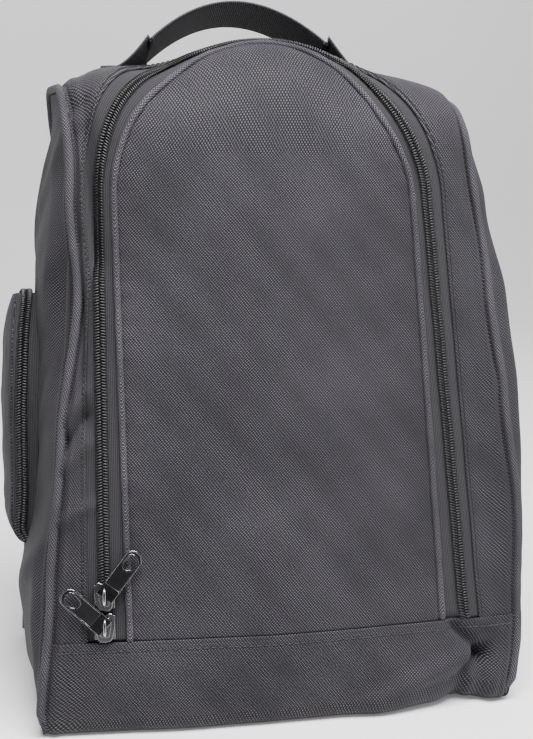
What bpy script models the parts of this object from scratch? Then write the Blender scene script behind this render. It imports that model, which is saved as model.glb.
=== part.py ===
"""Golf shoe bag: a soft twill bag that stands on its base, with a zipped arch-shaped front door, a webbing
carry handle on top and a zipped pocket on its left side.

Metres, +Z up. The front faces -Y and +X is the viewer's right. The origin is the middle of the base, on its
underside. Most cloth pieces lie on one skin. A place on the skin is x, across the bag, and s, the length along
the side seam from the foot of the front, up, over the top and down the back.
"""

import math

import bmesh
import bpy
from mathutils import Matrix, Vector

# Side seam, seen from the side: slanted front, round front shoulder, flat top, tight back corner, upright back
FRONT_FOOT_Y = -0.070
FRONT_TOP_Y = -0.024
FRONT_TOP_Z = 0.268
FRONT_RADIUS = 0.026
TOP_BACK_Y = 0.058
BACK_RADIUS = 0.012

# Width between the side seams
BASE_HALF_WIDTH = 0.1145
TOP_NARROWING = 0.0150
SIDE_BULGE = 0.0090

# Cloth and cord
FABRIC = 0.0015
TAPE = 0.0008
GAP = 0.0004
PIPING_RADIUS = 0.00175
DOOR_PIPING_RADIUS = 0.0016
BINDING_RADIUS = 0.0013
SEAM_SETBACK = 0.0021
BINDING_INSET = 0.006

# Front band below the door, and the base
BAND_FOOT_S = 0.0022
BAND_TOP_S = 0.04385
BAND_PROUD = 0.0005
BOARD_SIZE = (0.202, 0.120, 0.0016)
BOARD_Z = 0.0026

# Main zip: two straight legs and an elliptical arch, in x and s
ZIP_FOOT_S = 0.0443
ZIP_LEG_S = 0.250
ZIP_ARCH_RISE = 0.068
ZIP_FOOT_HALF_WIDTH = 0.0886
ZIP_LEG_HALF_WIDTH = 0.0806
ZIP_SHIFT = -0.001
ZIP_LEAN = -0.030
COIL_RADIUS = 0.0012
COIL_OFFSET = 0.0019
COIL_PROUD = 0.0003
TAPE_DEPTH = 0.0012
TAPE_START = 0.0007
TAPE_END = 0.0080
DOOR_INSET_FOOT = 0.0115
DOOR_INSET_LEG = 0.0075
DOOR_FOLD_S = 0.092
FOLD_GAP = 0.0004
LEG_STEPS = 3
ARCH_STEPS = 24
CORNER_STEP = 8

# Sliders, in sizes across the zip, along it and out from it
SLIDER_LENGTH = 0.014
SLIDER_HALF_WIDTH = 0.0048
SLIDER_CORNER = 0.0012
TOP_PLATE_THICKNESS = 0.0012
TOP_PLATE_OUT = 0.0025
FLANGE = ((0.0012, 0.0110, 0.0030), (0.0042, 0.0, 0.0007))
BRIDGE_POST = ((0.0018, 0.0012, 0.0034), (0.0, 0.0031, 0.0044))
BRIDGE_BAR = ((0.0018, 0.0074, 0.0011), (0.0, 0.0, 0.00615))
WEDGE = ((0.0007, 0.0040, 0.0060), (0.0, 0.0030, -0.0001))
BACK_PLATE = ((0.0084, 0.0120, 0.0010), (0.0, 0.0, -0.0029))
PULL_LIFT = 0.0043
PULL_THICKNESS = 0.0014
PULL_HALF_WIDTH = 0.0045
PULL_LENGTH = 0.026
PULL_BAR = 0.0006
WINDOW_HALF_WIDTH = 0.00365
WINDOW_END = 0.0054
OVAL_RADIUS = 0.0027
OVAL_MIDDLE = 0.0200
OVAL_HALF_STRAIGHT = 0.0008
LOWER_SLIDER_S = 0.0516
UPPER_SLIDER_S = 0.0660
LOWER_PULL_SKEW = math.radians(48)
UPPER_PULL_SKEW = math.radians(-38)

# Carry handle: a loop of webbing whose ends turn down onto the top
HANDLE_X = -0.009
HANDLE_Y = 0.038
HANDLE_Z = 0.3205
HANDLE_HALF_SPAN = 0.046
HANDLE_RISE = 0.023
HANDLE_LEAN = math.radians(27)
STRAP_WIDTH = 0.025
STRAP_THICKNESS = 0.0016
TAB_LIFT_LENGTH = 0.017
TAB_LENGTH = 0.025
TAB_CLEARANCE = 0.0009

# Left pocket: its zip runs round it like a wall, and its face is the panel outside the zip
POCKET_Y = 0.020
POCKET_HALF_WIDTH = 0.034
POCKET_FOOT_Z = 0.078
POCKET_FULL_Z = 0.096
POCKET_ZIP_FOOT_Z = 0.084
POCKET_FOLD_Z = 0.114
POCKET_LEG_Z = 0.150
POCKET_ARCH_RISE = 0.050
POCKET_ZIP_X = 0.1272
POCKET_LEAN_Z = 0.140
POCKET_LEAN = 2.0
POCKET_FACE = 0.0058
POCKET_FACE_INSET = 0.0015
POCKET_FABRIC = 0.0012
POCKET_DOME = 0.0006
POCKET_SLIDER_Z = 0.104

SLANT = math.atan2(FRONT_TOP_Y - FRONT_FOOT_Y, FRONT_TOP_Z)
FRONT_LENGTH = math.hypot(FRONT_TOP_Y - FRONT_FOOT_Y, FRONT_TOP_Z)
FRONT_CENTRE = (
    FRONT_TOP_Y + FRONT_RADIUS * math.cos(SLANT),
    FRONT_TOP_Z - FRONT_RADIUS * math.sin(SLANT),
)
TOP_Z = FRONT_CENTRE[1] + FRONT_RADIUS
BACK_CENTRE = (TOP_BACK_Y, TOP_Z - BACK_RADIUS)
BACK_Y = TOP_BACK_Y + BACK_RADIUS
TOP_START_S = FRONT_LENGTH + FRONT_RADIUS * (math.pi / 2 - SLANT)
TOP_END_S = TOP_START_S + TOP_BACK_Y - FRONT_CENTRE[0]
BACK_START_S = TOP_END_S + BACK_RADIUS * math.pi / 2
SEAM_LENGTH = BACK_START_S + BACK_CENTRE[1]
ARCH_TOP_S = ZIP_LEG_S + ZIP_ARCH_RISE

# How far the skin stands out from the side seams: s, a plateau as far as the seams, a ridge in the middle
CROWN = (
    (0.0, 0.003, 0.004),
    (0.040, 0.006, 0.008),
    (FRONT_LENGTH, 0.006, 0.008),
    (ARCH_TOP_S, 0.016, 0.020),
    (TOP_END_S, 0.009, 0.008),
    (TOP_END_S + 0.040, 0.004, 0.004),
    (SEAM_LENGTH, 0.003, 0.003),
)
RIDGE_SHARE = 0.85
SLOPE_STEP = 0.001

BAG = bpy.data.collections.new("golf_shoe_bag")
CUTTERS = bpy.data.collections.new("cutters")


# The skin


def seam_point(s):
    """The side seam at s: its y, its z, and the y and z of its outward direction."""
    if s <= FRONT_LENGTH:
        y = FRONT_FOOT_Y + s * math.sin(SLANT)
        return y, s * math.cos(SLANT), -math.cos(SLANT), math.sin(SLANT)
    if s <= TOP_START_S:
        turn = SLANT + (s - FRONT_LENGTH) / FRONT_RADIUS
        out_y, out_z = -math.cos(turn), math.sin(turn)
        return FRONT_CENTRE[0] + FRONT_RADIUS * out_y, FRONT_CENTRE[1] + FRONT_RADIUS * out_z, out_y, out_z
    if s <= TOP_END_S:
        return FRONT_CENTRE[0] + s - TOP_START_S, TOP_Z, 0.0, 1.0
    if s <= BACK_START_S:
        turn = (s - TOP_END_S) / BACK_RADIUS
        out_y, out_z = math.sin(turn), math.cos(turn)
        return BACK_CENTRE[0] + BACK_RADIUS * out_y, BACK_CENTRE[1] + BACK_RADIUS * out_z, out_y, out_z
    return BACK_Y, BACK_CENTRE[1] - (s - BACK_START_S), 1.0, 0.0


def half_width(z):
    """Half the width between the side seams at height z."""
    return BASE_HALF_WIDTH - TOP_NARROWING * (z / TOP_Z) ** 2


def eased(share):
    """A smooth step from 0 to 1."""
    share = min(max(share, 0.0), 1.0)
    return share * share * (3 - 2 * share)


def crown(s):
    """The plateau and the ridge of the skin at s."""
    for (s0, plateau0, ridge0), (s1, plateau1, ridge1) in zip(CROWN, CROWN[1:]):
        if s <= s1:
            share = eased((s - s0) / (s1 - s0))
            return plateau0 + (plateau1 - plateau0) * share, ridge0 + (ridge1 - ridge0) * share
    return CROWN[-1][1:]


def skin_base(x, s):
    y, z, out_y, out_z = seam_point(s)
    share = min(abs(x) / half_width(z), 1.0)
    plateau, ridge = crown(s)
    swell = plateau * (1 - share**6)
    swell += ridge * math.cos(math.pi / 2 * min(share / RIDGE_SHARE, 1.0)) ** 2
    return Vector((x, y + out_y * swell, z + out_z * swell))


def skin_normal(x, s):
    across = skin_base(x + SLOPE_STEP, s) - skin_base(x - SLOPE_STEP, s)
    along = skin_base(x, s + SLOPE_STEP) - skin_base(x, s - SLOPE_STEP)
    return across.cross(along).normalized()


def skin_point(x, s, out=0.0):
    """The point of the skin at x and s, moved out by a distance."""
    return skin_base(x, s) + skin_normal(x, s) * out


def side_x(y, z):
    """How far a side panel stands out from the bag's middle plane at y and z."""
    front, back = panel_edge_y(min(max(z, BAND_FOOT_S), TOP_Z - SEAM_SETBACK))
    depth_share = (2 * y - front - back) / (back - front)
    height_share = (z - TOP_Z / 2) / (TOP_Z / 2)
    swell = max(1 - abs(depth_share) ** 2.6, 0.0) * max(1 - abs(height_share) ** 3, 0.0)
    return half_width(z) + SIDE_BULGE * swell


def panel_edge_y(z):
    """The front and the back edge of a side panel at height z, set back from the side seam."""
    front = FRONT_FOOT_Y + z * math.tan(SLANT) + SEAM_SETBACK / math.cos(SLANT)
    rise = z - FRONT_CENTRE[1]
    if rise > -(FRONT_RADIUS - SEAM_SETBACK) * math.sin(SLANT) and z > FRONT_TOP_Z - SEAM_SETBACK:
        front = FRONT_CENTRE[0] - math.sqrt(max((FRONT_RADIUS - SEAM_SETBACK) ** 2 - rise**2, 0.0))
    back = BACK_Y - SEAM_SETBACK
    rise = z - BACK_CENTRE[1]
    if rise > 0:
        back = BACK_CENTRE[0] + math.sqrt(max((BACK_RADIUS - SEAM_SETBACK) ** 2 - rise**2, 0.0))
    return front, back


# Modelling helpers


def material(name, colour, roughness, metallic=0.0):
    made = bpy.data.materials.get(name)
    if made is None:
        made = bpy.data.materials.new(name)
        made.use_nodes = True
        shader = made.node_tree.nodes["Principled BSDF"]
        shader.inputs["Base Color"].default_value = (*colour, 1.0)
        shader.inputs["Roughness"].default_value = roughness
        shader.inputs["Metallic"].default_value = metallic
    return made


def twill():
    return material("twill", (0.055, 0.052, 0.060), 0.85)


def zip_cloth():
    return material("zip_tape", (0.020, 0.020, 0.024), 0.9)


def coil_nylon():
    return material("zip_coil", (0.012, 0.012, 0.014), 0.45)


def webbing():
    return material("webbing", (0.045, 0.040, 0.048), 0.8)


def dark_metal():
    return material("dark_metal", (0.06, 0.06, 0.065), 0.3, 1.0)


def board_plastic():
    return material("board", (0.03, 0.03, 0.03), 0.6)


def add(name, data, look, collection=BAG):
    made = bpy.data.objects.new(name, data)
    collection.objects.link(made)
    if look is not None:
        data.materials.clear()
        data.materials.append(look)
    return made


def sheet(name, point, steps_u, steps_v, thickness, look, side=-1.0):
    """A cloth sheet: point(u, v), with u and v from 0 to 1, gives one face, and the thickness goes behind it."""
    mesh = bpy.data.meshes.new(name)
    grid = bmesh.new()
    bmesh.ops.create_grid(grid, x_segments=steps_u, y_segments=steps_v, size=0.5)
    for vertex in grid.verts:
        vertex.co = point(vertex.co.x + 0.5, vertex.co.y + 0.5)
    grid.to_mesh(mesh)
    grid.free()
    made = add(name, mesh, look)
    solid = made.modifiers.new("thickness", "SOLIDIFY")
    solid.thickness = thickness
    solid.offset = side
    return made


def tube(name, points, radius, look, resolution=2):
    """A round cord through the points, with closed ends."""
    curve = bpy.data.curves.new(name, "CURVE")
    curve.dimensions = "3D"
    curve.bevel_depth = radius
    curve.bevel_resolution = resolution
    curve.use_fill_caps = True
    spline = curve.splines.new("POLY")
    spline.points.add(len(points) - 1)
    for place, target in zip(points, spline.points):
        target.co = (*place, 1.0)
    return add(name, curve, look)


def box_piece(size, centre):
    """A loose box mesh object, ready to be joined to others."""
    mesh = bpy.data.meshes.new("box")
    cube = bmesh.new()
    bmesh.ops.create_cube(cube, size=1.0)
    bmesh.ops.scale(cube, vec=size, verts=cube.verts)
    bmesh.ops.translate(cube, vec=centre, verts=cube.verts)
    cube.to_mesh(mesh)
    cube.free()
    return cutter(mesh)


def outline_piece(outlines, thickness):
    """A flat plate from closed outlines, the inner ones being holes."""
    curve = bpy.data.curves.new("outline", "CURVE")
    curve.dimensions = "2D"
    curve.fill_mode = "BOTH"
    curve.extrude = thickness / 2
    for outline in outlines:
        spline = curve.splines.new("POLY")
        spline.points.add(len(outline) - 1)
        spline.use_cyclic_u = True
        for (x, y), target in zip(outline, spline.points):
            target.co = (x, y, 0.0, 1.0)
    flat = cutter(curve)
    mesh = evaluated_mesh(flat)
    weld = bmesh.new()
    weld.from_mesh(mesh)
    bmesh.ops.remove_doubles(weld, verts=weld.verts, dist=0.00001)
    weld.to_mesh(mesh)
    weld.free()
    bpy.data.objects.remove(flat)
    return cutter(mesh)


def cutter(data):
    made = add("cutter", data, None, CUTTERS)
    made.hide_render = True
    made.display_type = "WIRE"
    return made


def evaluated_mesh(thing):
    bpy.context.view_layer.update()
    return bpy.data.meshes.new_from_object(thing.evaluated_get(bpy.context.evaluated_depsgraph_get()))


def joined(pieces):
    """One mesh from overlapping pieces."""
    base = pieces[0]
    for piece in pieces[1:]:
        union = base.modifiers.new("join", "BOOLEAN")
        union.operation = "UNION"
        union.object = piece
    mesh = evaluated_mesh(base)
    for piece in pieces:
        bpy.data.objects.remove(piece)
    return mesh


def pivot(name, frame):
    """An empty on a joint's axis."""
    empty = bpy.data.objects.new(name, None)
    empty.empty_display_size = 0.01
    empty.matrix_basis = frame
    BAG.objects.link(empty)
    return empty


def hang(thing, empty):
    """Parents a piece to a joint's empty without moving it."""
    thing.parent = empty
    thing.matrix_parent_inverse = empty.matrix_basis.inverted()
    return thing


def frame_of(origin, across, along, out):
    """A matrix with these axes: X across, Y along, Z out."""
    return Matrix.Translation(origin) @ Matrix((across, along, out)).transposed().to_4x4()


def arc(centre, radius, start, end, steps):
    """Points along an arc, from one angle to another."""
    turns = (start + (end - start) * step / steps for step in range(steps + 1))
    return [(centre[0] + radius * math.cos(turn), centre[1] + radius * math.sin(turn)) for turn in turns]


def span(start, end, steps):
    return [start + (end - start) * step / steps for step in range(steps + 1)]


# The main zip's layout: a station is the outward direction in x and s, and the s where the leg or arch starts


def leg_stations(side, start, end, steps):
    return [(side, 0.0, s) for s in span(start, end, steps)]


def arch_stations():
    turns = span(0.0, math.pi, ARCH_STEPS)
    return [(-math.cos(turn), math.sin(turn), ZIP_LEG_S) for turn in turns]


def round_stations(start):
    """Stations up the left leg from start, round the arch and down the right leg."""
    left = leg_stations(-1.0, start, ZIP_LEG_S, LEG_STEPS)
    right = leg_stations(1.0, ZIP_LEG_S, start, LEG_STEPS)
    return left[:-1] + arch_stations() + right[1:]


def zip_shift(s):
    return ZIP_SHIFT + ZIP_LEAN * (s - ZIP_FOOT_S)


def zip_half_width(s):
    share = (s - ZIP_FOOT_S) / (ZIP_LEG_S - ZIP_FOOT_S)
    return ZIP_FOOT_HALF_WIDTH + (ZIP_LEG_HALF_WIDTH - ZIP_FOOT_HALF_WIDTH) * share


def zip_place(station, inset):
    """The x and s of a place this far inside the zip's centre line."""
    out_x, out_s, base_s = station
    s = base_s + out_s * (ZIP_ARCH_RISE - inset)
    return out_x * (zip_half_width(base_s) - inset) + zip_shift(s), s


def zip_point(station, inset, out=0.0):
    return skin_point(*zip_place(station, inset), out)


def door_inset(s):
    """How far the door's piping lies inside the zip's centre line."""
    share = (s - ZIP_FOOT_S) / (ZIP_LEG_S - ZIP_FOOT_S)
    return DOOR_INSET_FOOT + (DOOR_INSET_LEG - DOOR_INSET_FOOT) * share


def zip_tape(name, stations, inner_inset, outer_inset, look):
    """A flat strip along the stations; each inset is a function of the station's s."""

    def point(u, v):
        station = stations[round(u * (len(stations) - 1))]
        inset = inner_inset(station[2]) + (outer_inset(station[2]) - inner_inset(station[2])) * v
        return zip_point(station, inset, -TAPE_DEPTH)

    return sheet(name, point, len(stations) - 1, 1, TAPE, look)


def bag_side_tape(name, stations):
    return zip_tape(name, stations, lambda s: -TAPE_START, lambda s: -TAPE_END, zip_cloth())


def door_side_tape(name, stations):
    edge = DOOR_PIPING_RADIUS + 0.0006
    return zip_tape(name, stations, lambda s: door_inset(s) - edge, lambda s: TAPE_START, zip_cloth())


def zip_coil(name, stations, side):
    points = [zip_point(station, side * COIL_OFFSET, COIL_PROUD) for station in stations]
    return tube(name, points, COIL_RADIUS, coil_nylon())


def door_cord(name, stations):
    points = [zip_point(station, door_inset(station[2]), -0.0005) for station in stations]
    return tube(name, points, DOOR_PIPING_RADIUS, twill())


def door_edge_inset(s):
    return door_inset(s) + DOOR_PIPING_RADIUS + GAP


# Body


def make_base():
    def point(u, v):
        x = half_width(0.0) * (2 * u - 1)
        front = skin_base(x, BAND_FOOT_S).y
        back = skin_base(x, SEAM_LENGTH - BAND_FOOT_S).y
        return Vector((x, front + (back - front) * v, 0.0))

    sheet("base_panel", point, 13, 3, FABRIC, twill(), side=1.0)
    mesh = bpy.data.meshes.new("base_board")
    cube = bmesh.new()
    bmesh.ops.create_cube(cube, size=1.0)
    bmesh.ops.scale(cube, vec=BOARD_SIZE, verts=cube.verts)
    bmesh.ops.translate(cube, vec=(0.0, 0.0, BOARD_Z), verts=cube.verts)
    cube.to_mesh(mesh)
    cube.free()
    add("base_board", mesh, board_plastic())


def make_front_band():
    def point(u, v):
        s = BAND_FOOT_S + (BAND_TOP_S - BAND_FOOT_S) * v
        edge = half_width(seam_point(s)[1]) - SEAM_SETBACK
        return skin_point(edge * (2 * u - 1), s, BAND_PROUD)

    sheet("front_band", point, 14, 3, FABRIC, twill())


def outer_edge(index, stations):
    """The x and s of the front surround's outer edge beside a station."""
    last = len(stations) - 1
    mirror = -1.0 if index * 2 <= last else 1.0
    index = min(index, last - index)
    top_s = TOP_END_S - GAP / 2
    if index <= LEG_STEPS:
        s = stations[index][2]
    else:
        s = ZIP_LEG_S + (top_s - ZIP_LEG_S) * min((index - LEG_STEPS) / CORNER_STEP, 1.0)
    edge = half_width(seam_point(s)[1]) - SEAM_SETBACK
    past_corner = index - LEG_STEPS - CORNER_STEP
    if past_corner > 0:
        edge *= 1 - past_corner / (ARCH_STEPS / 2 - CORNER_STEP)
    return mirror * edge, s


def make_front_surround():
    stations = round_stations(ZIP_FOOT_S)
    inner_inset = -(TAPE_END + GAP)

    def point(u, v):
        index = round(u * (len(stations) - 1))
        inner_x, inner_s = zip_place(stations[index], inner_inset)
        outer_x, outer_s = outer_edge(index, stations)
        return skin_point(inner_x + (outer_x - inner_x) * v, inner_s + (outer_s - inner_s) * v)

    sheet("front_surround", point, len(stations) - 1, 4, FABRIC, twill())


def make_side_panels():
    straight = span(BAND_FOOT_S, FRONT_CENTRE[1], 6)
    turns = span(0.0, math.pi / 2, 5)[1:]
    rows = straight + [FRONT_CENTRE[1] + (FRONT_RADIUS - SEAM_SETBACK) * math.sin(turn) for turn in turns]

    def panel(mirror):
        def point(u, v):
            z = rows[round(v * (len(rows) - 1))]
            front, back = panel_edge_y(z)
            share = u if mirror > 0 else 1 - u
            y = front + (back - front) * share
            return Vector((mirror * side_x(y, z), y, z))

        return point

    sheet("side_panel_left", panel(-1.0), 10, len(rows) - 1, FABRIC, twill())
    sheet("side_panel_right", panel(1.0), 10, len(rows) - 1, FABRIC, twill())


def make_back_panel():
    corner = span(TOP_END_S + GAP / 2, BACK_START_S, 4)
    rows = corner + span(BACK_START_S, SEAM_LENGTH - BAND_FOOT_S, 5)[1:]

    def point(u, v):
        s = rows[round(v * (len(rows) - 1))]
        edge = half_width(seam_point(s)[1]) - SEAM_SETBACK
        return skin_point(edge * (2 * u - 1), s)

    sheet("back_panel", point, 10, len(rows) - 1, FABRIC, twill())


def seam_places(start, end):
    """Values of s along the side seam, close together only where it turns."""
    front = span(start, FRONT_LENGTH, 5) + span(FRONT_LENGTH, TOP_START_S, 6)[1:]
    return front + span(TOP_END_S, BACK_START_S, 5) + span(BACK_START_S, end, 5)[1:]


def make_side_cords():
    for side, mirror in (("left", -1.0), ("right", 1.0)):
        piping = []
        for s in seam_places(0.004, SEAM_LENGTH - 0.004):
            y, z = seam_point(s)[:2]
            piping.append((mirror * half_width(z), y, z))
        tube("side_piping_" + side, piping, PIPING_RADIUS, twill())
        binding = []
        for s in seam_places(0.008, SEAM_LENGTH - 0.008):
            y, z, out_y, out_z = seam_point(s)
            x = half_width(z) - BINDING_INSET + 0.0005
            binding.append((mirror * x, y - out_y * BINDING_INSET, z - out_z * BINDING_INSET))
        tube("seam_binding_" + side, binding, BINDING_RADIUS, zip_cloth(), resolution=1)


# Door and main zip


def door_row(station):
    """Half the door panel's width beside a station, and the row's s."""
    x, s = zip_place(station, door_edge_inset(station[2]))
    return abs(x - zip_shift(s)), s


def door_sheet(name, stations):
    def point(u, v):
        half, s = door_row(stations[round(v * (len(stations) - 1))])
        return skin_point(half * (2 * u - 1) + zip_shift(s), s)

    return sheet(name, point, 10, len(stations) - 1, FABRIC, twill())


def make_bag_side_zip():
    stations = round_stations(ZIP_FOOT_S)
    bag_side_tape("zip_tape_outer", stations)
    zip_coil("zip_coil_outer", stations, -1.0)


def make_door_foot():
    end = DOOR_FOLD_S - FOLD_GAP
    door_sheet("door_foot", leg_stations(1.0, ZIP_FOOT_S, end, 2))
    for side, mirror in (("left", -1.0), ("right", 1.0)):
        stations = leg_stations(mirror, ZIP_FOOT_S, end, 1)
        if mirror > 0:
            stations.reverse()
        door_side_tape("door_tape_foot_" + side, stations)
        zip_coil("door_coil_foot_" + side, stations, 1.0)
        door_cord("door_piping_foot_" + side, stations)


def fold_axis_point():
    """The highest point of the skin on the door's fold line, just outside it."""
    return skin_point(zip_shift(DOOR_FOLD_S), DOOR_FOLD_S, 0.0005)


def make_door():
    hinge = pivot("door_fold", Matrix.Translation(fold_axis_point()))
    start = DOOR_FOLD_S + FOLD_GAP
    stations = round_stations(start)
    half_arch = arch_stations()[: ARCH_STEPS // 2]
    top = (-math.cos(math.radians(88)), math.sin(math.radians(88)), ZIP_LEG_S)
    rows = leg_stations(-1.0, start, ZIP_LEG_S, LEG_STEPS) + half_arch[1:] + [top]
    hang(door_sheet("door_panel", rows), hinge)
    hang(door_cord("door_piping", stations), hinge)
    hang(door_side_tape("zip_tape_inner", stations), hinge)
    hang(zip_coil("zip_coil_inner", stations, 1.0), hinge)


# Sliders and pulls


def slider_mesh():
    """A zip slider: X across the zip, Y along it, Z out of it, its middle on the zip's surface."""
    top = outline_piece([slider_outline()], TOP_PLATE_THICKNESS)
    top.location.z = TOP_PLATE_OUT
    pieces = [top]
    for mirror in (-1.0, 1.0):
        pieces.append(block(FLANGE, (mirror, 1.0, 1.0)))
        pieces.append(block(BRIDGE_POST, (1.0, mirror, 1.0)))
    for size_and_centre in (BRIDGE_BAR, WEDGE, BACK_PLATE):
        pieces.append(block(size_and_centre, (1.0, 1.0, 1.0)))
    for piece in pieces:
        piece.data.transform(piece.matrix_basis)
        piece.matrix_basis.identity()
    return joined(pieces)


def block(size_and_centre, mirror):
    """A box piece with its centre mirrored in the axes where mirror is -1."""
    size, centre = size_and_centre
    return box_piece(size, [value * sign for value, sign in zip(centre, mirror)])


def slider_outline():
    """The slider's top plate, with rounded corners."""
    right = SLIDER_HALF_WIDTH - SLIDER_CORNER
    half = SLIDER_LENGTH / 2 - SLIDER_CORNER
    outline = []
    for quarter, corner in enumerate(((right, half), (-right, half), (-right, -half), (right, -half))):
        start = quarter * math.pi / 2
        outline += arc(corner, SLIDER_CORNER, start, start + math.pi / 2, 3)
    return outline


def pull_mesh():
    """A flat pull: its bar lies on X at the origin, and it reaches along Y, with a window and an oval hole."""
    tip = PULL_LENGTH - PULL_HALF_WIDTH
    outline = [(PULL_HALF_WIDTH, -PULL_BAR)]
    outline += arc((0.0, tip), PULL_HALF_WIDTH, 0.0, math.pi, 10)
    outline += [(-PULL_HALF_WIDTH, -PULL_BAR)]
    side = WINDOW_HALF_WIDTH
    window = [(-side, PULL_BAR), (-side, WINDOW_END), (side, WINDOW_END), (side, PULL_BAR)]
    oval = arc((0.0, OVAL_MIDDLE + OVAL_HALF_STRAIGHT), OVAL_RADIUS, 0.0, math.pi, 6)
    oval += arc((0.0, OVAL_MIDDLE - OVAL_HALF_STRAIGHT), OVAL_RADIUS, math.pi, 2 * math.pi, 6)
    oval.reverse()
    plate = outline_piece([outline, window, oval], PULL_THICKNESS)
    mesh = plate.data.copy()
    bpy.data.objects.remove(plate)
    return mesh


def zip_frame(s):
    """The frame of a slider on the left leg: X towards the door, Y up the leg, Z out."""
    station = (-1.0, 0.0, s)
    origin = zip_point(station, 0.0)
    end = zip_point((-1.0, 0.0, s + 0.1), 0.0)
    along = (end - origin).normalized()
    out = skin_normal(*zip_place(station, 0.0))
    across = along.cross(out).normalized()
    return frame_of(origin, across, along, across.cross(along))


def pocket_frame():
    """The frame of the pocket's slider on the rear leg: X away from the bag, Y up, Z to the back."""
    origin = Vector((-POCKET_ZIP_X, POCKET_Y + POCKET_HALF_WIDTH, POCKET_SLIDER_Z))
    return frame_of(origin, Vector((-1, 0, 0)), Vector((0, 0, 1)), Vector((0, 1, 0)))


def make_sliders():
    slider = slider_mesh()
    pull = pull_mesh()
    places = (
        ("lower", zip_frame(LOWER_SLIDER_S), LOWER_PULL_SKEW),
        ("upper", zip_frame(UPPER_SLIDER_S), UPPER_PULL_SKEW),
        ("pocket", pocket_frame(), math.pi),
    )
    carrier = None
    for name, frame, skew in places:
        travel = pivot(name + "_slider_travel", frame)
        if name == "upper":
            hang(travel, carrier)
        carrier = travel
        body = add(name + "_slider", slider, dark_metal())
        body.matrix_basis = frame
        hang(body, travel)
        pull_frame = frame @ Matrix.Translation((0, 0, PULL_LIFT)) @ Matrix.Rotation(skew, 4, "Z")
        flip = hang(pivot(name + "_pull_flip", pull_frame), travel)
        tab = add(name + "_pull", pull, dark_metal())
        tab.matrix_basis = pull_frame
        tab.parent = flip
        tab.matrix_parent_inverse = pull_frame.inverted()


# Handle


def make_handle():
    swing = pivot("handle_swing", Matrix.Translation((HANDLE_X, HANDLE_Y, HANDLE_Z)))
    up = Vector((0, math.sin(HANDLE_LEAN), math.cos(HANDLE_LEAN)))
    rear = Vector((0, math.cos(HANDLE_LEAN), -math.sin(HANDLE_LEAN)))

    def loop_point(u, v):
        share = 2 * u - 1
        rise = HANDLE_RISE * (1 - share * share)
        place = Vector((HANDLE_X + HANDLE_HALF_SPAN * share, HANDLE_Y, HANDLE_Z))
        return place + up * rise + rear * STRAP_WIDTH * (v - 0.5)

    strap = sheet("handle_strap", loop_point, 16, 1, STRAP_THICKNESS, webbing(), side=0.0)
    trim = strap.modifiers.new("flat_ends", "BOOLEAN")
    trim.operation = "INTERSECT"
    limits = (HANDLE_HALF_SPAN * 2, 0.1, 0.1)
    trim.object = box_piece(limits, (HANDLE_X, HANDLE_Y, HANDLE_Z))
    hang(strap, swing)
    start = HANDLE_HALF_SPAN + STRAP_THICKNESS
    for side, mirror in (("left", -1.0), ("right", 1.0)):
        lift = HANDLE_Z - skin_top(HANDLE_X + mirror * start, HANDLE_Y) - TAB_CLEARANCE - STRAP_THICKNESS

        def tab_point(u, v, mirror=mirror, lift=lift):
            along = u if mirror > 0 else 1 - u
            x = HANDLE_X + mirror * (start + TAB_LENGTH * along)
            left = max(1 - TAB_LENGTH * along / TAB_LIFT_LENGTH, 0.0)
            reach = STRAP_WIDTH * (v - 0.5)
            y = HANDLE_Y + reach * math.cos(HANDLE_LEAN * left)
            z = skin_top(x, y) + TAB_CLEARANCE + STRAP_THICKNESS + lift * left**1.5
            return Vector((x, y, z - reach * math.sin(HANDLE_LEAN) * left))

        sheet("handle_tab_" + side, tab_point, 8, 3, STRAP_THICKNESS, webbing())


def skin_top(x, y):
    """The height of the top of the bag at x and y."""
    return skin_base(x, TOP_START_S + y - FRONT_CENTRE[0]).z


# Left pocket


def pocket_zip_x(z):
    """How far the pocket's zip lies from the bag's middle plane at height z."""
    return POCKET_ZIP_X - POCKET_LEAN * max(z - POCKET_LEAN_Z, 0.0) ** 2


def pocket_place(station, inset):
    out_y, out_z, base_z = station
    y = POCKET_Y + out_y * (POCKET_HALF_WIDTH - inset)
    return y, base_z + out_z * (POCKET_ARCH_RISE - inset)


def pocket_round(start):
    """Stations up the pocket's front leg from start, round its arch and down its rear leg."""
    front = [(-1.0, 0.0, z) for z in span(start, POCKET_LEG_Z, 2)]
    arch = [(-math.cos(turn), math.sin(turn), POCKET_LEG_Z) for turn in span(0.0, math.pi, 14)]
    return front[:-1] + arch + [(1.0, 0.0, z) for z in span(POCKET_LEG_Z, start, 2)][1:]


def pocket_tape(name, stations, inner, outer):
    """A strip of zip tape that stands out from the side panel; inner and outer give x from a place."""

    def point(u, v):
        y, z = pocket_place(stations[round(u * (len(stations) - 1))], TAPE_DEPTH)
        return Vector((-(inner(y, z) + (outer(y, z) - inner(y, z)) * v), y, z))

    return sheet(name, point, len(stations) - 1, 1, TAPE, zip_cloth())


def pocket_outer_tape(name, stations):
    return pocket_tape(
        name,
        stations,
        lambda y, z: side_x(y, z) + 0.0006,
        lambda y, z: pocket_zip_x(z) - TAPE_START,
    )


def pocket_inner_tape(name, stations):
    return pocket_tape(
        name,
        stations,
        lambda y, z: pocket_zip_x(z) + TAPE_START,
        lambda y, z: pocket_face_x(y, z) - POCKET_FABRIC - GAP,
    )


def pocket_coil(name, stations, side):
    points = []
    for station in stations:
        y, z = pocket_place(station, -COIL_PROUD)
        points.append((-(pocket_zip_x(z) + side * COIL_OFFSET), y, z))
    return tube(name, points, COIL_RADIUS, coil_nylon())


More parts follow.
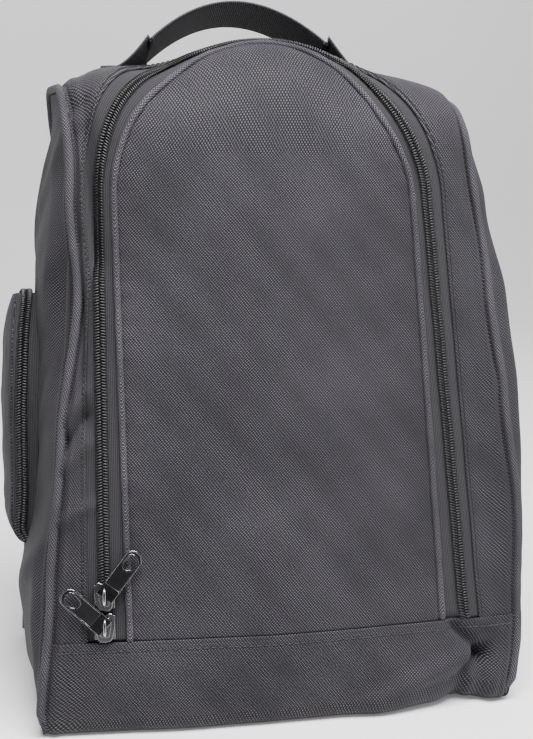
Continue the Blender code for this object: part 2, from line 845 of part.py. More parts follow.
def pocket_face_x(y, z):
    """How far the pocket's face stands from the bag's middle plane; it curls in to the side panel at its foot."""
    full = pocket_zip_x(z) + POCKET_FACE
    if z < POCKET_FULL_Z:
        drop = (POCKET_FULL_Z - z) / (POCKET_FULL_Z - POCKET_FOOT_Z)
        low = side_x(y, z) + FABRIC + GAP
        return low + (full - low) * math.sqrt(max(1 - drop * drop, 0.0))
    share = (y - POCKET_Y) / POCKET_HALF_WIDTH
    return full + POCKET_DOME * (1 - share * share) * min((z - POCKET_FULL_Z) / 0.02, 1.0)


def pocket_sheet(name, rows):
    """A face sheet with one row for each pair of half width and height."""

    def point(u, v):
        half, z = rows[round(v * (len(rows) - 1))]
        y = POCKET_Y + half * (1 - 2 * u)
        return Vector((-pocket_face_x(y, z), y, z))

    return sheet(name, point, 6, len(rows) - 1, POCKET_FABRIC, twill())


def make_pocket():
    half = POCKET_HALF_WIDTH - POCKET_FACE_INSET
    turns = span(0.0, math.pi / 2, 5)[1:]
    curl = [POCKET_FULL_Z - (POCKET_FULL_Z - POCKET_FOOT_Z) * math.cos(turn) for turn in turns]
    foot_rows = [POCKET_FOOT_Z] + curl + [POCKET_FOLD_Z - FOLD_GAP]
    pocket_sheet("pocket_foot", [(half, z) for z in foot_rows])
    fold_start = POCKET_FOLD_Z + FOLD_GAP
    pocket_outer_tape("pocket_tape_outer", pocket_round(POCKET_ZIP_FOOT_Z))
    pocket_coil("pocket_coil_outer", pocket_round(POCKET_ZIP_FOOT_Z), -1.0)
    for name, out_y in (("front", -1.0), ("rear", 1.0)):
        low, full, high = ((out_y, 0.0, z) for z in (POCKET_ZIP_FOOT_Z, POCKET_FULL_Z, POCKET_FOLD_Z - FOLD_GAP))
        pocket_inner_tape("pocket_tape_foot_" + name, [full, high] if out_y < 0 else [high, full])
        pocket_coil("pocket_coil_foot_" + name, [low, full, high], 1.0)

    hinge_x = -(pocket_face_x(POCKET_Y, POCKET_FOLD_Z) + 0.0005)
    fold = pivot("pocket_fold", Matrix.Translation((hinge_x, POCKET_Y, POCKET_FOLD_Z)))
    stations = pocket_round(fold_start)
    rows = [(half, z) for z in span(fold_start, POCKET_LEG_Z, 2)]
    for turn in span(0.0, math.radians(87), 7)[1:]:
        rise = (POCKET_ARCH_RISE - POCKET_FACE_INSET) * math.sin(turn)
        rows.append((half * math.cos(turn), POCKET_LEG_Z + rise))
    hang(pocket_sheet("pocket_panel", rows), fold)
    hang(pocket_inner_tape("pocket_tape_inner", stations), fold)
    hang(pocket_coil("pocket_coil_inner", stations, 1.0), fold)


def main():
    for old in list(bpy.data.objects):
        bpy.data.objects.remove(old)
    bpy.context.scene.collection.children.link(BAG)
    bpy.context.scene.collection.children.link(CUTTERS)
    make_base()
    make_front_band()
    make_front_surround()
    make_side_panels()
    make_back_panel()
    make_side_cords()
    make_bag_side_zip()
    make_door_foot()
    make_door()
    make_sliders()
    make_handle()
    make_pocket()


main()
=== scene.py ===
"""Looks of the golf shoe bag: its twill panels, pipings, coil zips, sliders, webbing handle and side pocket.

Metres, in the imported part's frame: +Z up, the front faces -Y, +X is the viewer's right, and the origin is
the middle of the base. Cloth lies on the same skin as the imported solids: x across the bag, and s, the length
along the side seam from the foot of the front, over the top and down the back. Slack and folds come on top.
"""

import math

import bpy
import numpy as np
from mathutils import Matrix, Vector


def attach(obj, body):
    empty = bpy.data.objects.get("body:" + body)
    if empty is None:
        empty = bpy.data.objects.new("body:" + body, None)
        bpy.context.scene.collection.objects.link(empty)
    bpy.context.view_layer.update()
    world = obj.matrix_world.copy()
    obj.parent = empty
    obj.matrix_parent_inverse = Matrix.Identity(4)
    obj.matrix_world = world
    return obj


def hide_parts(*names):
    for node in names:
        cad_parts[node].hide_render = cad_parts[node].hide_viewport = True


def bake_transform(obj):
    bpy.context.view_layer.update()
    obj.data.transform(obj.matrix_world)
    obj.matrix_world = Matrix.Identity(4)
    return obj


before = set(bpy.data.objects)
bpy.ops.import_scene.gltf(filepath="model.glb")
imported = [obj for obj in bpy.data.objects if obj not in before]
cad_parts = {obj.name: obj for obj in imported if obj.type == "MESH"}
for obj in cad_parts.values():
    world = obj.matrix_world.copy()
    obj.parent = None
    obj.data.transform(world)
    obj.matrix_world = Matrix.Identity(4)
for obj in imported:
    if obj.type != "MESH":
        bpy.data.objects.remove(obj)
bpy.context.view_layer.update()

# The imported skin's driving sizes
FRONT_FOOT_Y = -0.070
FRONT_TOP_Y = -0.024
FRONT_TOP_Z = 0.268
FRONT_RADIUS = 0.026
TOP_BACK_Y = 0.058
BACK_RADIUS = 0.012
BASE_HALF_WIDTH = 0.1145
TOP_NARROWING = 0.0150
SIDE_BULGE = 0.0090
FABRIC = 0.0015
SEAM_SETBACK = 0.0021
BAND_TOP_S = 0.04385

SLANT = math.atan2(FRONT_TOP_Y - FRONT_FOOT_Y, FRONT_TOP_Z)
FRONT_LENGTH = math.hypot(FRONT_TOP_Y - FRONT_FOOT_Y, FRONT_TOP_Z)
FRONT_CENTRE = (FRONT_TOP_Y + FRONT_RADIUS * math.cos(SLANT), FRONT_TOP_Z - FRONT_RADIUS * math.sin(SLANT))
TOP_Z = FRONT_CENTRE[1] + FRONT_RADIUS
BACK_CENTRE = (TOP_BACK_Y, TOP_Z - BACK_RADIUS)
BACK_Y = TOP_BACK_Y + BACK_RADIUS
TOP_START_S = FRONT_LENGTH + FRONT_RADIUS * (math.pi / 2 - SLANT)
TOP_END_S = TOP_START_S + TOP_BACK_Y - FRONT_CENTRE[0]
BACK_START_S = TOP_END_S + BACK_RADIUS * math.pi / 2
SEAM_LENGTH = BACK_START_S + BACK_CENTRE[1]

# Pipings and seams: how proud a side piping lies, and how far the cloths stop short of it or run under it
PIPING_RADIUS = 0.0019
PIPING_PROUD = 0.0007
PIPING_STEPS = 640
DOOR_PIPING_RADIUS = 0.0016
SEAM_TUCK = 0.0008
SIDE_TUCK = 0.0012

# Main zip
ZIP_FOOT_S = 0.0443
ZIP_LEG_S = 0.250
ZIP_ARCH_RISE = 0.068
ZIP_FOOT_HALF_WIDTH = 0.0886
ZIP_LEG_HALF_WIDTH = 0.0806
ZIP_SHIFT = -0.001
ZIP_LEAN = -0.030
TAPE_DEPTH = 0.0012
TAPE_START = 0.0007
TAPE_END = 0.0080
TAPE = 0.0007
DOOR_INSET_FOOT = 0.0115
DOOR_INSET_LEG = 0.0075
DOOR_FOLD_S = 0.092
FOLD_LENGTH = 0.016
CORNER_SHARE = 8 / 12
LOWER_SLIDER_S = 0.0516
UPPER_SLIDER_S = 0.0660
LOWER_PULL_SKEW = math.radians(48)
UPPER_PULL_SKEW = math.radians(-38)
PULL_LIFT = 0.0043

# Coil: a flattened helix of nylon line on each side of the zip
COIL_PITCH = 0.00135
COIL_LINE_RADIUS = 0.00036
COIL_REACH = 0.0030
COIL_OVERLAP = 0.00025
COIL_HALF_HEIGHT = 0.00085
COIL_PROUD = 0.0003
TURN_STEPS = 12
LINE_SIDES = 6

# Handle
HANDLE_X = -0.009
HANDLE_Y = 0.038
HANDLE_Z = 0.3205
HANDLE_HALF_SPAN = 0.046
HANDLE_RISE = 0.023
HANDLE_LEAN = math.radians(27)
STRAP_WIDTH = 0.025
STRAP_THICKNESS = 0.0016
TAB_LIFT_LENGTH = 0.017
TAB_LENGTH = 0.025
TAB_CLEARANCE = 0.0009

# Left pocket
POCKET_Y = 0.020
POCKET_HALF_WIDTH = 0.034
POCKET_FOOT_Z = 0.078
POCKET_FULL_Z = 0.096
POCKET_FOLD_Z = 0.114
POCKET_LEG_Z = 0.150
POCKET_ARCH_RISE = 0.050
POCKET_ZIP_X = 0.1272
POCKET_LEAN_Z = 0.140
POCKET_LEAN = 2.0
POCKET_FACE = 0.0058
POCKET_FACE_INSET = 0.0015
POCKET_FABRIC = 0.0012
POCKET_DOME = 0.0006
POCKET_RUN_INSET = 0.0042
POCKET_SLIDER_Z = 0.104

# How far the skin stands out from the side seams: s, a plateau as far as the seams, a ridge in the middle
ARCH_TOP_S = ZIP_LEG_S + ZIP_ARCH_RISE
CROWN = (
    (0.0, 0.003, 0.004),
    (0.040, 0.006, 0.008),
    (FRONT_LENGTH, 0.006, 0.008),
    (ARCH_TOP_S, 0.016, 0.020),
    (TOP_END_S, 0.009, 0.008),
    (TOP_END_S + 0.040, 0.004, 0.004),
    (SEAM_LENGTH, 0.003, 0.003),
)
RIDGE_SHARE = 0.85
SLOPE_STEP = 0.001
SIDES = (("left", -1), ("right", 1))

# Slack: how far each side seam stands outside its packed line at height z
SEAM_SLACK = {
    -1: ((0.0, 0.006), (0.064, 0.0005), (0.137, -0.004), (0.200, -0.0095), (0.252, -0.003), (0.298, 0.004)),
    1: ((0.0, -0.002), (0.040, 0.003), (0.095, 0.006), (0.150, 0.0025), (0.200, -0.001), (0.298, -0.006)),
}
# How far from its seam a side panel still follows that slack
SLACK_REACH = {-1: 0.018, 1: 0.012}
# How far a side panel puffs out behind its front seam at height z, and where behind it that starts to fade
LEFT_PUFF = ((0.0, 0.0005), (0.014, 0.0038), (0.028, 0.0056), (0.045, 0.0064), (0.065, 0.0052), (0.098, 0.0))
RIGHT_PUFF = ((0.0, 0.001), (0.035, 0.006), (0.096, 0.011), (0.150, 0.012), (0.200, 0.0095), (0.250, 0.003))
RIGHT_PUFF += ((0.298, -0.004),)
PUFF = {-1: (LEFT_PUFF, 0.030), 1: (RIGHT_PUFF, 0.012)}
PUFF_RISE = 0.012
PUFF_FADE = 0.075
# The groove beside a side piping and the ridge of its seam allowance: distance, half width and height
SEAM_RELIEF = ((0.0024, 0.0007, -0.0014), (0.0056, 0.0013, 0.0008))
# How far each shoulder stands up beside the zip's arch, at the top of the seams
SHOULDER_FOOT_Z = 0.235
SHOULDER_LIFT = {-1: 0.010, 1: 0.005}
SHOULDER_START_X = 0.046
SHOULDER_FULL_X = 0.088
# How far the left side sinks in, pocket and all, at height z
LEFT_SINK = ((0.060, 0.0), (0.110, 0.003), (0.155, 0.003), (0.195, 0.0012), (0.220, 0.0))

# Folds in the front: the x and s of the start and the end of a line, its half width and its height
FRONT_FOLDS = (
    ((-0.094, 0.286), (-0.089, 0.225), 0.0046, -0.0048),
    ((-0.104, 0.200), (-0.098, 0.150), 0.0040, -0.0026),
    ((-0.112, 0.100), (-0.096, 0.108), 0.0035, 0.0026),
    ((-0.113, 0.124), (-0.098, 0.136), 0.0040, 0.0034),
    ((-0.111, 0.135), (-0.097, 0.149), 0.0030, -0.0032),
    ((-0.110, 0.148), (-0.098, 0.160), 0.0040, 0.0026),
    ((-0.102, 0.235), (-0.099, 0.285), 0.0045, -0.0025),
    ((-0.112, 0.272), (-0.096, 0.282), 0.0035, 0.0022),
    ((0.083, 0.040), (0.097, 0.026), 0.0034, -0.0050),
    ((0.097, 0.026), (0.081, 0.010), 0.0040, -0.0050),
    ((0.097, 0.026), (0.096, 0.014), 0.0034, -0.0030),
    ((0.030, 0.002), (0.086, 0.026), 0.0050, 0.0034),
    ((0.100, 0.006), (0.106, 0.018), 0.0050, 0.0020),
    ((0.086, 0.047), (0.104, 0.038), 0.0020, 0.0010),
    ((0.100, 0.170), (0.112, 0.155), 0.0050, 0.0010),
    ((0.094, 0.240), (0.108, 0.215), 0.0060, 0.0010),
    ((-0.060, 0.008), (-0.020, 0.030), 0.0120, 0.0012),
    ((0.000, 0.004), (0.050, 0.026), 0.0140, -0.0012),
)
SIDE_FOLDS = (
    ((-0.040, 0.185), (-0.012, 0.135), 0.0060, 0.0022),
    ((-0.030, 0.175), (-0.005, 0.118), 0.0050, -0.0018),
    ((-0.052, 0.090), (-0.020, 0.060), 0.0070, 0.0016),
    ((0.030, 0.255), (0.055, 0.215), 0.0080, 0.0018),
    ((-0.020, 0.270), (0.020, 0.245), 0.0070, 0.0020),
    ((0.000, 0.035), (0.050, 0.020), 0.0080, -0.0018),
)
BACK_FOLDS = (
    ((-0.090, 0.060), (-0.030, 0.030), 0.0120, 0.0016),
    ((0.030, 0.035), (0.095, 0.080), 0.0120, 0.0018),
    ((-0.080, 0.250), (-0.040, 0.215), 0.0110, -0.0016),
    ((0.050, 0.270), (0.090, 0.225), 0.0110, 0.0015),
    ((-0.020, 0.150), (0.030, 0.125), 0.0160, 0.0010),
)


# The skin


def smooth(share):
    """A smooth step from 0 to 1, for arrays."""
    share = np.clip(share, 0.0, 1.0)
    return share * share * (3 - 2 * share)


def eased_knots(knots, at):
    """Values between knots, the first column being the place, with a smooth step from knot to knot."""
    knots = np.array(knots)
    at = np.clip(np.asarray(at, float), knots[0, 0], knots[-1, 0])
    index = np.clip(np.searchsorted(knots[:, 0], at) - 1, 0, len(knots) - 2)
    share = smooth((at - knots[index, 0]) / (knots[index + 1, 0] - knots[index, 0]))
    columns = range(1, knots.shape[1])
    values = [knots[index, k] + (knots[index + 1, k] - knots[index, k]) * share for k in columns]
    return values[0] if len(values) == 1 else values


def bump(distance, at, width):
    """A bell-shaped rise to 1 at a distance."""
    return np.exp(-(((distance - at) / width) ** 2))


def crowded(steps, turn):
    """Shares from -1 to 1 that crowd towards both ends, the more so the closer turn is to a quarter turn."""
    return np.sin(np.linspace(-turn, turn, steps)) / math.sin(turn)


def stack(*parts):
    return np.stack(np.broadcast_arrays(*parts), axis=-1)


def seam_frame(s):
    """The side seam at s: its y, its z, and the y and z of its outward direction."""
    s = np.asarray(s, float)
    front = SLANT + (s - FRONT_LENGTH) / FRONT_RADIUS
    back = (s - TOP_END_S) / BACK_RADIUS
    stretch = [s <= FRONT_LENGTH, s <= TOP_START_S, s <= TOP_END_S, s <= BACK_START_S]
    nothing = 0 * s
    out_y = np.select(stretch, [nothing - math.cos(SLANT), -np.cos(front), nothing, np.sin(back)], 1.0)
    out_z = np.select(stretch, [nothing + math.sin(SLANT), np.sin(front), nothing + 1, np.cos(back)], 0.0)
    front_y, front_z = FRONT_CENTRE[0] + FRONT_RADIUS * out_y, FRONT_CENTRE[1] + FRONT_RADIUS * out_z
    back_y, back_z = BACK_CENTRE[0] + BACK_RADIUS * out_y, BACK_CENTRE[1] + BACK_RADIUS * out_z
    y = [FRONT_FOOT_Y + s * math.sin(SLANT), front_y, FRONT_CENTRE[0] + s - TOP_START_S, back_y]
    z = [s * math.cos(SLANT), front_z, nothing + TOP_Z, back_z]
    down_back = BACK_CENTRE[1] - (s - BACK_START_S)
    return np.select(stretch, y, BACK_Y), np.select(stretch, z, down_back), out_y, out_z


def half_width(z):
    return BASE_HALF_WIDTH - TOP_NARROWING * (z / TOP_Z) ** 2


def seam_slack(mirror, z):
    return eased_knots(SEAM_SLACK[mirror], z)


def skin_base(x, s):
    y, z, out_y, out_z = seam_frame(s)
    share = np.minimum(np.abs(x) / half_width(z), 1.0)
    plateau, ridge = eased_knots(CROWN, s)
    turn = math.pi / 2 * np.minimum(share / RIDGE_SHARE, 1.0)
    swell = plateau * (1 - share**6) + ridge * np.cos(turn) ** 2
    return stack(x + 0 * s, y + out_y * swell, z + out_z * swell)


def skin_normal(x, s):
    across = skin_base(x + SLOPE_STEP, s) - skin_base(x - SLOPE_STEP, s)
    along = skin_base(x, s + SLOPE_STEP) - skin_base(x, s - SLOPE_STEP)
    return unit(np.cross(across, along))


def unit(vectors):
    return vectors / np.linalg.norm(vectors, axis=-1, keepdims=True)


def folds(a, b, lines):
    """The height of a set of folds at places a, b: each is a soft ridge or a valley along a line."""
    height = 0 * (a + b)
    for start, end, width, rise in lines:
        run = np.array(end) - np.array(start)
        length = math.hypot(*run)
        along = ((a - start[0]) * run[0] + (b - start[1]) * run[1]) / length
        across = ((a - start[0]) * run[1] - (b - start[1]) * run[0]) / length
        beyond = along - np.clip(along, 0.0, length)
        height = height + rise * np.exp(-(across / width) ** 2 - (beyond / (1.6 * width)) ** 2)
    return height


def ripple(a, b, size):
    """Slight unevenness about as large as size in each direction."""
    a, b = a / size, b / size
    waves = ((1.9, 0.7, 0.4), (-1.1, 2.3, 1.7), (3.1, 2.9, 2.6))
    return sum(np.sin(across * a + along * b + phase) for across, along, phase in waves) / 3


def seam_share(x, s):
    """How much of a seam's slack a place of the skin follows: nothing by the zip, all of it at the seam."""
    edge = zip_half_width(np.minimum(s, ZIP_LEG_S)) + TAPE_END
    return smooth((np.abs(x) - edge) / (half_width(seam_frame(s)[1]) - SEAM_TUCK - edge))


def shoulder(mirror, z):
    return SHOULDER_LIFT[mirror] * smooth((z - SHOULDER_FOOT_Z) / (TOP_Z - SHOULDER_FOOT_Z))


def shoulder_lift(x, z):
    """How far the top's two shoulders lift the skin: not in the bag's middle, and in full at its seams."""
    share = smooth((np.abs(x) - SHOULDER_START_X) / (SHOULDER_FULL_X - SHOULDER_START_X))
    return np.where(x < 0, shoulder(-1, z), shoulder(1, z)) * share


def seam_relief(distance):
    return sum(rise * bump(distance, at, width) for at, width, rise in SEAM_RELIEF)


def skin(x, s, out=0.0):
    """The front, top or back surface at x and s, with its slack and folds, moved out by a distance."""
    x, s = np.broadcast_arrays(np.asarray(x, float), np.asarray(s, float))
    z = seam_frame(s)[1]
    on_back = smooth((s - BACK_START_S) / 0.02)
    rise = folds(x, s, FRONT_FOLDS) + 0.0003 * ripple(x, s, 0.018)
    rise = rise + seam_relief(half_width(z) - np.abs(x)) + on_back * folds(x, SEAM_LENGTH - s, BACK_FOLDS)
    place = skin_base(x, s) + skin_normal(x, s) * (rise + out)[..., None]
    place[..., 0] += np.where(x < 0, -seam_slack(-1, z), seam_slack(1, z)) * seam_share(x, s)
    place[..., 2] += shoulder_lift(x, z)
    return place


def panel_edge_y(z):
    """The front and the back edge of a side panel at height z, set back from the side seam."""
    front = FRONT_FOOT_Y + z * math.tan(SLANT) + SEAM_SETBACK / math.cos(SLANT)
    inner = FRONT_RADIUS - SEAM_SETBACK
    rise = z - FRONT_CENTRE[1]
    rounded = FRONT_CENTRE[0] - np.sqrt(np.maximum(inner**2 - rise**2, 0.0))
    front = np.where(z > FRONT_TOP_Z - SEAM_SETBACK, rounded, front)
    inner = BACK_RADIUS - SEAM_SETBACK
    rise = np.maximum(z - BACK_CENTRE[1], 0.0)
    return front, BACK_CENTRE[0] + np.sqrt(np.maximum(inner**2 - rise**2, 0.0))


def side_x(y, z):
    """How far a side panel stands out from the bag's middle plane."""
    front, back = panel_edge_y(np.clip(z, 0.0, TOP_Z - SEAM_SETBACK))
    depth = np.abs((2 * y - front - back) / (back - front))
    height = np.abs((z - TOP_Z / 2) / (TOP_Z / 2))
    swell = np.maximum(1 - depth**2.6, 0.0) * np.maximum(1 - height**3, 0.0)
    return half_width(z) + SIDE_BULGE * swell


# Meshes


def cloth(name, points, spread, look, thickness=FABRIC):
    """A sheet from rows and columns of points, whose columns crossed with its rows point out of the cloth.
    spread is each point's place on the flat cloth, in metres. The thickness lies behind the points."""
    rows, columns = points.shape[:2]
    index = np.arange(rows * columns).reshape(rows, columns)
    corners = [index[:-1, :-1], index[:-1, 1:], index[1:, 1:], index[1:, :-1]]
    faces = np.stack(corners, -1).reshape(-1, 4)
    piece = mesh_piece(name, points.reshape(-1, 3), faces, look)
    lay_out(piece, np.broadcast_to(spread, (rows, columns, 2)).reshape(-1, 2))
    if thickness:
        solid = piece.modifiers.new("thickness", "SOLIDIFY")
        solid.thickness = thickness
        solid.offset = -1.0
    return piece


def lay_out(piece, spread):
    """Gives each point of a piece its place on the flat cloth, in metres, which its weave follows."""
    corners = np.empty(len(piece.data.loops), int)
    piece.data.loops.foreach_get("vertex_index", corners)
    layer = piece.data.uv_layers.new(name="cloth")
    layer.data.foreach_set("uv", np.asarray(spread, float)[corners].ravel())


def lengths_along(points):
    """The distance along a line of points to each of them."""
    return np.concatenate([[0.0], np.cumsum(np.linalg.norm(np.diff(points, axis=0), axis=1))])


def read_at(places, along, rows):
    """Rows of three numbers, read at these distances along a line."""
    return stack(*(np.interp(places, along, column) for column in rows.T))


def evenly(points, step, *others):
    """Points along a line at an even step, with other arrays read at the same places."""
    along = lengths_along(points)
    places = np.linspace(0.0, along[-1], max(2, round(along[-1] / step)))
    return [read_at(places, along, rows) for rows in (points, *others)]


def mesh_piece(name, points, faces, look):
    mesh = bpy.data.meshes.new(name)
    mesh.from_pydata(np.asarray(points).tolist(), [], faces if isinstance(faces, list) else faces.tolist())
    mesh.polygons.foreach_set("use_smooth", [True] * len(mesh.polygons))
    mesh.update()
    mesh.materials.append(look)
    piece = bpy.data.objects.new(name, mesh)
    bpy.context.scene.collection.objects.link(piece)
    return piece


def tube_arrays(path, radius, sides, across=None):
    """The vertices and faces of a closed tube along a path; radius may be one for each point of the path."""
    path = np.asarray(path, float)
    along = unit(np.gradient(path, axis=0))
    if across is None:
        across = np.tile((0.31, 0.17, 0.93), (len(path), 1))
    across = unit(across - (across * along).sum(-1, keepdims=True) * along)
    out = np.cross(along, across)
    turns = np.linspace(0, 2 * math.pi, sides, endpoint=False)
    radius = np.broadcast_to(radius, len(path))[:, None, None]
    rings = path[:, None] + radius * (
        across[:, None] * np.cos(turns)[:, None] + out[:, None] * np.sin(turns)[:, None]
    )
    index = np.arange(len(path) * sides).reshape(-1, sides)
    following = np.roll(index, -1, axis=1)
    faces = np.stack([index[:-1], following[:-1], following[1:], index[1:]], -1).reshape(-1, 4)
    return rings.reshape(-1, 3), faces.tolist() + [index[0][::-1].tolist(), index[-1].tolist()]


def joined_arrays(parts):
    """One list of vertices and one of faces from several."""
    vertices, faces, start = [], [], 0
    for points, some in parts:
        vertices.append(np.asarray(points))
        faces += [[start + corner for corner in face] for face in some]
        start += len(points)
    return np.concatenate(vertices), faces


def tube(name, path, radius, look, sides=14, across=None):
    points, faces = tube_arrays(path, radius, sides, across)
    piece = mesh_piece(name, points, faces, look)
    along = lengths_along(np.asarray(path, float))
    round_it = np.abs(np.linspace(-1, 1, sides, endpoint=False)) * math.pi * np.max(radius)
    lay_out(piece, stack(round_it, along[:, None]).reshape(-1, 2))
    return piece


def stitches(name, path, out, look, pitch=0.0030, radius=0.00028):
    """A row of lockstitches along a path: short threads that dip into the cloth at both ends."""
    along = lengths_along(path)
    share = np.linspace(0.06, 0.86, 6)
    lift = 0.00034 * np.sin(math.pi * (share - 0.06) / 0.8) - 0.00012
    parts = []
    for start in np.arange(0.0, along[-1] - pitch, pitch):
        places = start + share * pitch
        thread = read_at(places, along, path) + read_at(places, along, out) * lift[:, None]
        parts.append(tube_arrays(thread, radius, 5))
    return mesh_piece(name, *joined_arrays(parts), look)


def door_bend(piece):
    """Works out the ends of the door's fold line, which nothing uses, and bakes the piece's placement into its
    mesh.
    """
    x = zip_shift(DOOR_FOLD_S)
    start, end = (tuple(skin_base(x, s)) for s in (DOOR_FOLD_S, DOOR_FOLD_S + FOLD_LENGTH))
    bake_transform(piece)


def dressed(piece, nodes=(), body="root", bend=None):
    """Stands for imported nodes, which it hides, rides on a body, and is passed to bend if one is given."""
    if body:
        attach(piece, body)
    if nodes:
        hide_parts(*nodes)
    if bend:
        bend(piece)


# The main zip: a station is the outward direction in x and s, and the s where its leg or arch starts


def zip_shift(s):
    return ZIP_SHIFT + ZIP_LEAN * (s - ZIP_FOOT_S)


def zip_half_width(s):
    share = (s - ZIP_FOOT_S) / (ZIP_LEG_S - ZIP_FOOT_S)
    return ZIP_FOOT_HALF_WIDTH + (ZIP_LEG_HALF_WIDTH - ZIP_FOOT_HALF_WIDTH) * share


def legs_and_arch(leg, arch_steps):
    """Stations up one leg of a zip, round its arch and down the other leg, as rows of three numbers."""
    turn = np.linspace(0.0, math.pi, arch_steps + 1)[1:-1]
    arch = stack(-np.cos(turn), np.sin(turn), leg[-1])
    return np.concatenate([stack(-1.0, 0.0, leg), arch, stack(1.0, 0.0, leg[::-1])])


def round_stations(start=ZIP_FOOT_S, arch_steps=170):
    return legs_and_arch(np.linspace(start, ZIP_LEG_S, 151), arch_steps)


def zip_place(stations, inset):
    """The x and s of places this far inside the zip's centre line."""
    out_x, out_s, base_s = np.moveaxis(stations, -1, 0)
    s = base_s + out_s * (ZIP_ARCH_RISE - inset)
    return out_x * (zip_half_width(base_s) - inset) + zip_shift(s), s


def zip_point(stations, inset, out=0.0):
    return skin(*zip_place(stations, inset), out)


def door_inset(s):
    share = (s - ZIP_FOOT_S) / (ZIP_LEG_S - ZIP_FOOT_S)
    return DOOR_INSET_FOOT + (DOOR_INSET_LEG - DOOR_INSET_FOOT) * share


def coil(name, centre, across, out, side, look):
    """One side of a coil zip: a flattened helix of line along its centre, across and out being its axes."""
    step = COIL_PITCH / TURN_STEPS
    centre, across, out = evenly(centre, step, across, out)
    turn = np.arange(len(centre)) * 2 * math.pi / TURN_STEPS + (math.pi if side > 0 else 0.0)
    middle = (COIL_REACH - COIL_OVERLAP) / 2
    half = (COIL_REACH + COIL_OVERLAP) / 2 - COIL_LINE_RADIUS
    sway = side * (middle + half * np.cos(turn))
    rise = COIL_PROUD + (COIL_HALF_HEIGHT - COIL_LINE_RADIUS) * np.sin(turn)
    path = centre + across * sway[:, None] + out * rise[:, None]
    return tube(name, path, COIL_LINE_RADIUS, look, sides=LINE_SIDES, across=np.cross(across, out))


def make_coil_pair(kind, moving, feet, bend, line, look):
    """Both coils of a zip, the bag's and the moving one; line is the centre, across and out."""
    outer = coil(f"{kind}_coil_bag_side", *line, -1, look)
    dressed(outer, [kind + "_coil_outer"])
    inner = coil(f"{kind}_coil_{moving}_side", *line, 1, look)
    dressed(inner, [kind + "_coil_inner", *feet], body=None, bend=bend)


# Cloth of the body

CURL = 0.007
HEM = 0.006
HEM_PROUD = 0.0005
BAND_PROUD = 0.0008
HEM_ROWS = (0.0, 0.0003, 0.0008, 0.0014, 0.0019, 0.0024, 0.0032, 0.0045, 0.0058, 0.0070, 0.0082)
STITCH_INSET = 0.0019
BAND_STITCH_INSET = 0.0040
SAG_REACH = 0.020
FRONT_CURL_REACH = 0.045
# The radius of the curl at the foot of the front, by x
FOOT_CURL = ((0.0, CURL), (0.040, 0.008), (0.070, 0.012), (0.086, 0.016), (0.098, 0.012), (0.112, 0.008))


def front_curl(x):
    return eased_knots(FOOT_CURL, x)


def skin_to_foot(x, s, out=0.0):
    """The skin, with its foot curled in under the bag, in front and at the back."""
    from_foot = np.minimum(s, SEAM_LENGTH - s)
    curl = np.where(s < SEAM_LENGTH / 2, front_curl(x), CURL)
    turn = np.clip(1 - from_foot / curl, 0.0, 1.0) * math.pi / 2
    place = skin(x, np.clip(s, curl, SEAM_LENGTH - curl), out - curl * (1 - np.cos(turn)))
    place[..., 2] *= 1 - np.sin(turn)
    return place


def hem_profile(distance):
    """How far a turned-in hem with a row of stitches stands out, by the distance from its edge."""
    step = HEM_PROUD * (1 - smooth((distance - HEM) / 0.0015))
    edge = 0.0007 * (1 - smooth(distance / 0.0009))
    return step - edge - 0.00035 * bump(distance, STITCH_INSET, 0.0005)


def surround_edge(stations):
    """The x and s of the surround's outer edge by each station: up a side seam, then along the top."""
    out_x, out_s, base_s = np.moveaxis(stations, -1, 0)
    share = np.arctan2(out_s, np.abs(out_x)) / (math.pi / 2)
    over_top = (TOP_END_S - ZIP_LEG_S) * np.minimum(share / CORNER_SHARE, 1.0)
    s = base_s + np.where(out_s > 0, over_top, 0.0)
    edge = half_width(seam_frame(s)[1]) - SEAM_TUCK
    past = np.clip((share - CORNER_SHARE) / (1 - CORNER_SHARE), 0.0, 1.0)
    return np.sign(out_x) * edge * (1 - past), s


def make_surround(look, thread):
    stations = round_stations(ZIP_FOOT_S - 0.001, arch_steps=150)
    inner = stack(*zip_place(stations, -TAPE_END))
    run = stack(*surround_edge(stations)) - inner
    length = np.linalg.norm(run, axis=-1)
    distance = [np.full(len(stations), place) for place in HEM_ROWS]
    rest = length - HEM_ROWS[-1]
    shares = np.sin(np.linspace(0, math.pi / 2, 40))
    distance += [HEM_ROWS[-1] + rest * share for share in shares[1:]]
    distance = np.array(distance)
    flat = inner + run * (distance / length)[..., None]
    points = skin(flat[..., 0], flat[..., 1], hem_profile(distance))
    piece = cloth("front_surround_cloth", points, flat, look)
    dressed(piece, ["front_surround"])
    line = inner + run * (STITCH_INSET / length)[:, None]
    path = skin(line[:, 0], line[:, 1], HEM_PROUD)
    sewn = stitches("surround_stitches", path, skin_normal(line[:, 0], line[:, 1]), thread)
    dressed(sewn)


def make_band(look, thread):
    top_s = BAND_TOP_S + 0.0004
    hem = top_s - np.array(HEM_ROWS)
    s = np.concatenate([np.linspace(0.0, hem[-1], 40), hem[::-1][1:]])[:, None]
    edge = half_width(seam_frame(s)[1]) - SEAM_TUCK
    x = edge * np.sin(np.linspace(-math.pi / 2, math.pi / 2, 260))
    seam = 0.0008 * bump(top_s - s, BAND_STITCH_INSET, 0.0006)
    points = skin_to_foot(x, s, BAND_PROUD + hem_profile(top_s - s) - seam)
    piece = cloth("front_band_cloth", points, stack(x, s), look)
    dressed(piece, ["front_band"])
    x = np.linspace(-0.110, 0.110, 240)
    s = np.full(240, BAND_TOP_S - BAND_STITCH_INSET)
    path = skin_to_foot(x, s, BAND_PROUD + HEM_PROUD - 0.0003)
    dressed(stitches("band_stitches", path, skin_normal(x, s), thread, pitch=0.0036))


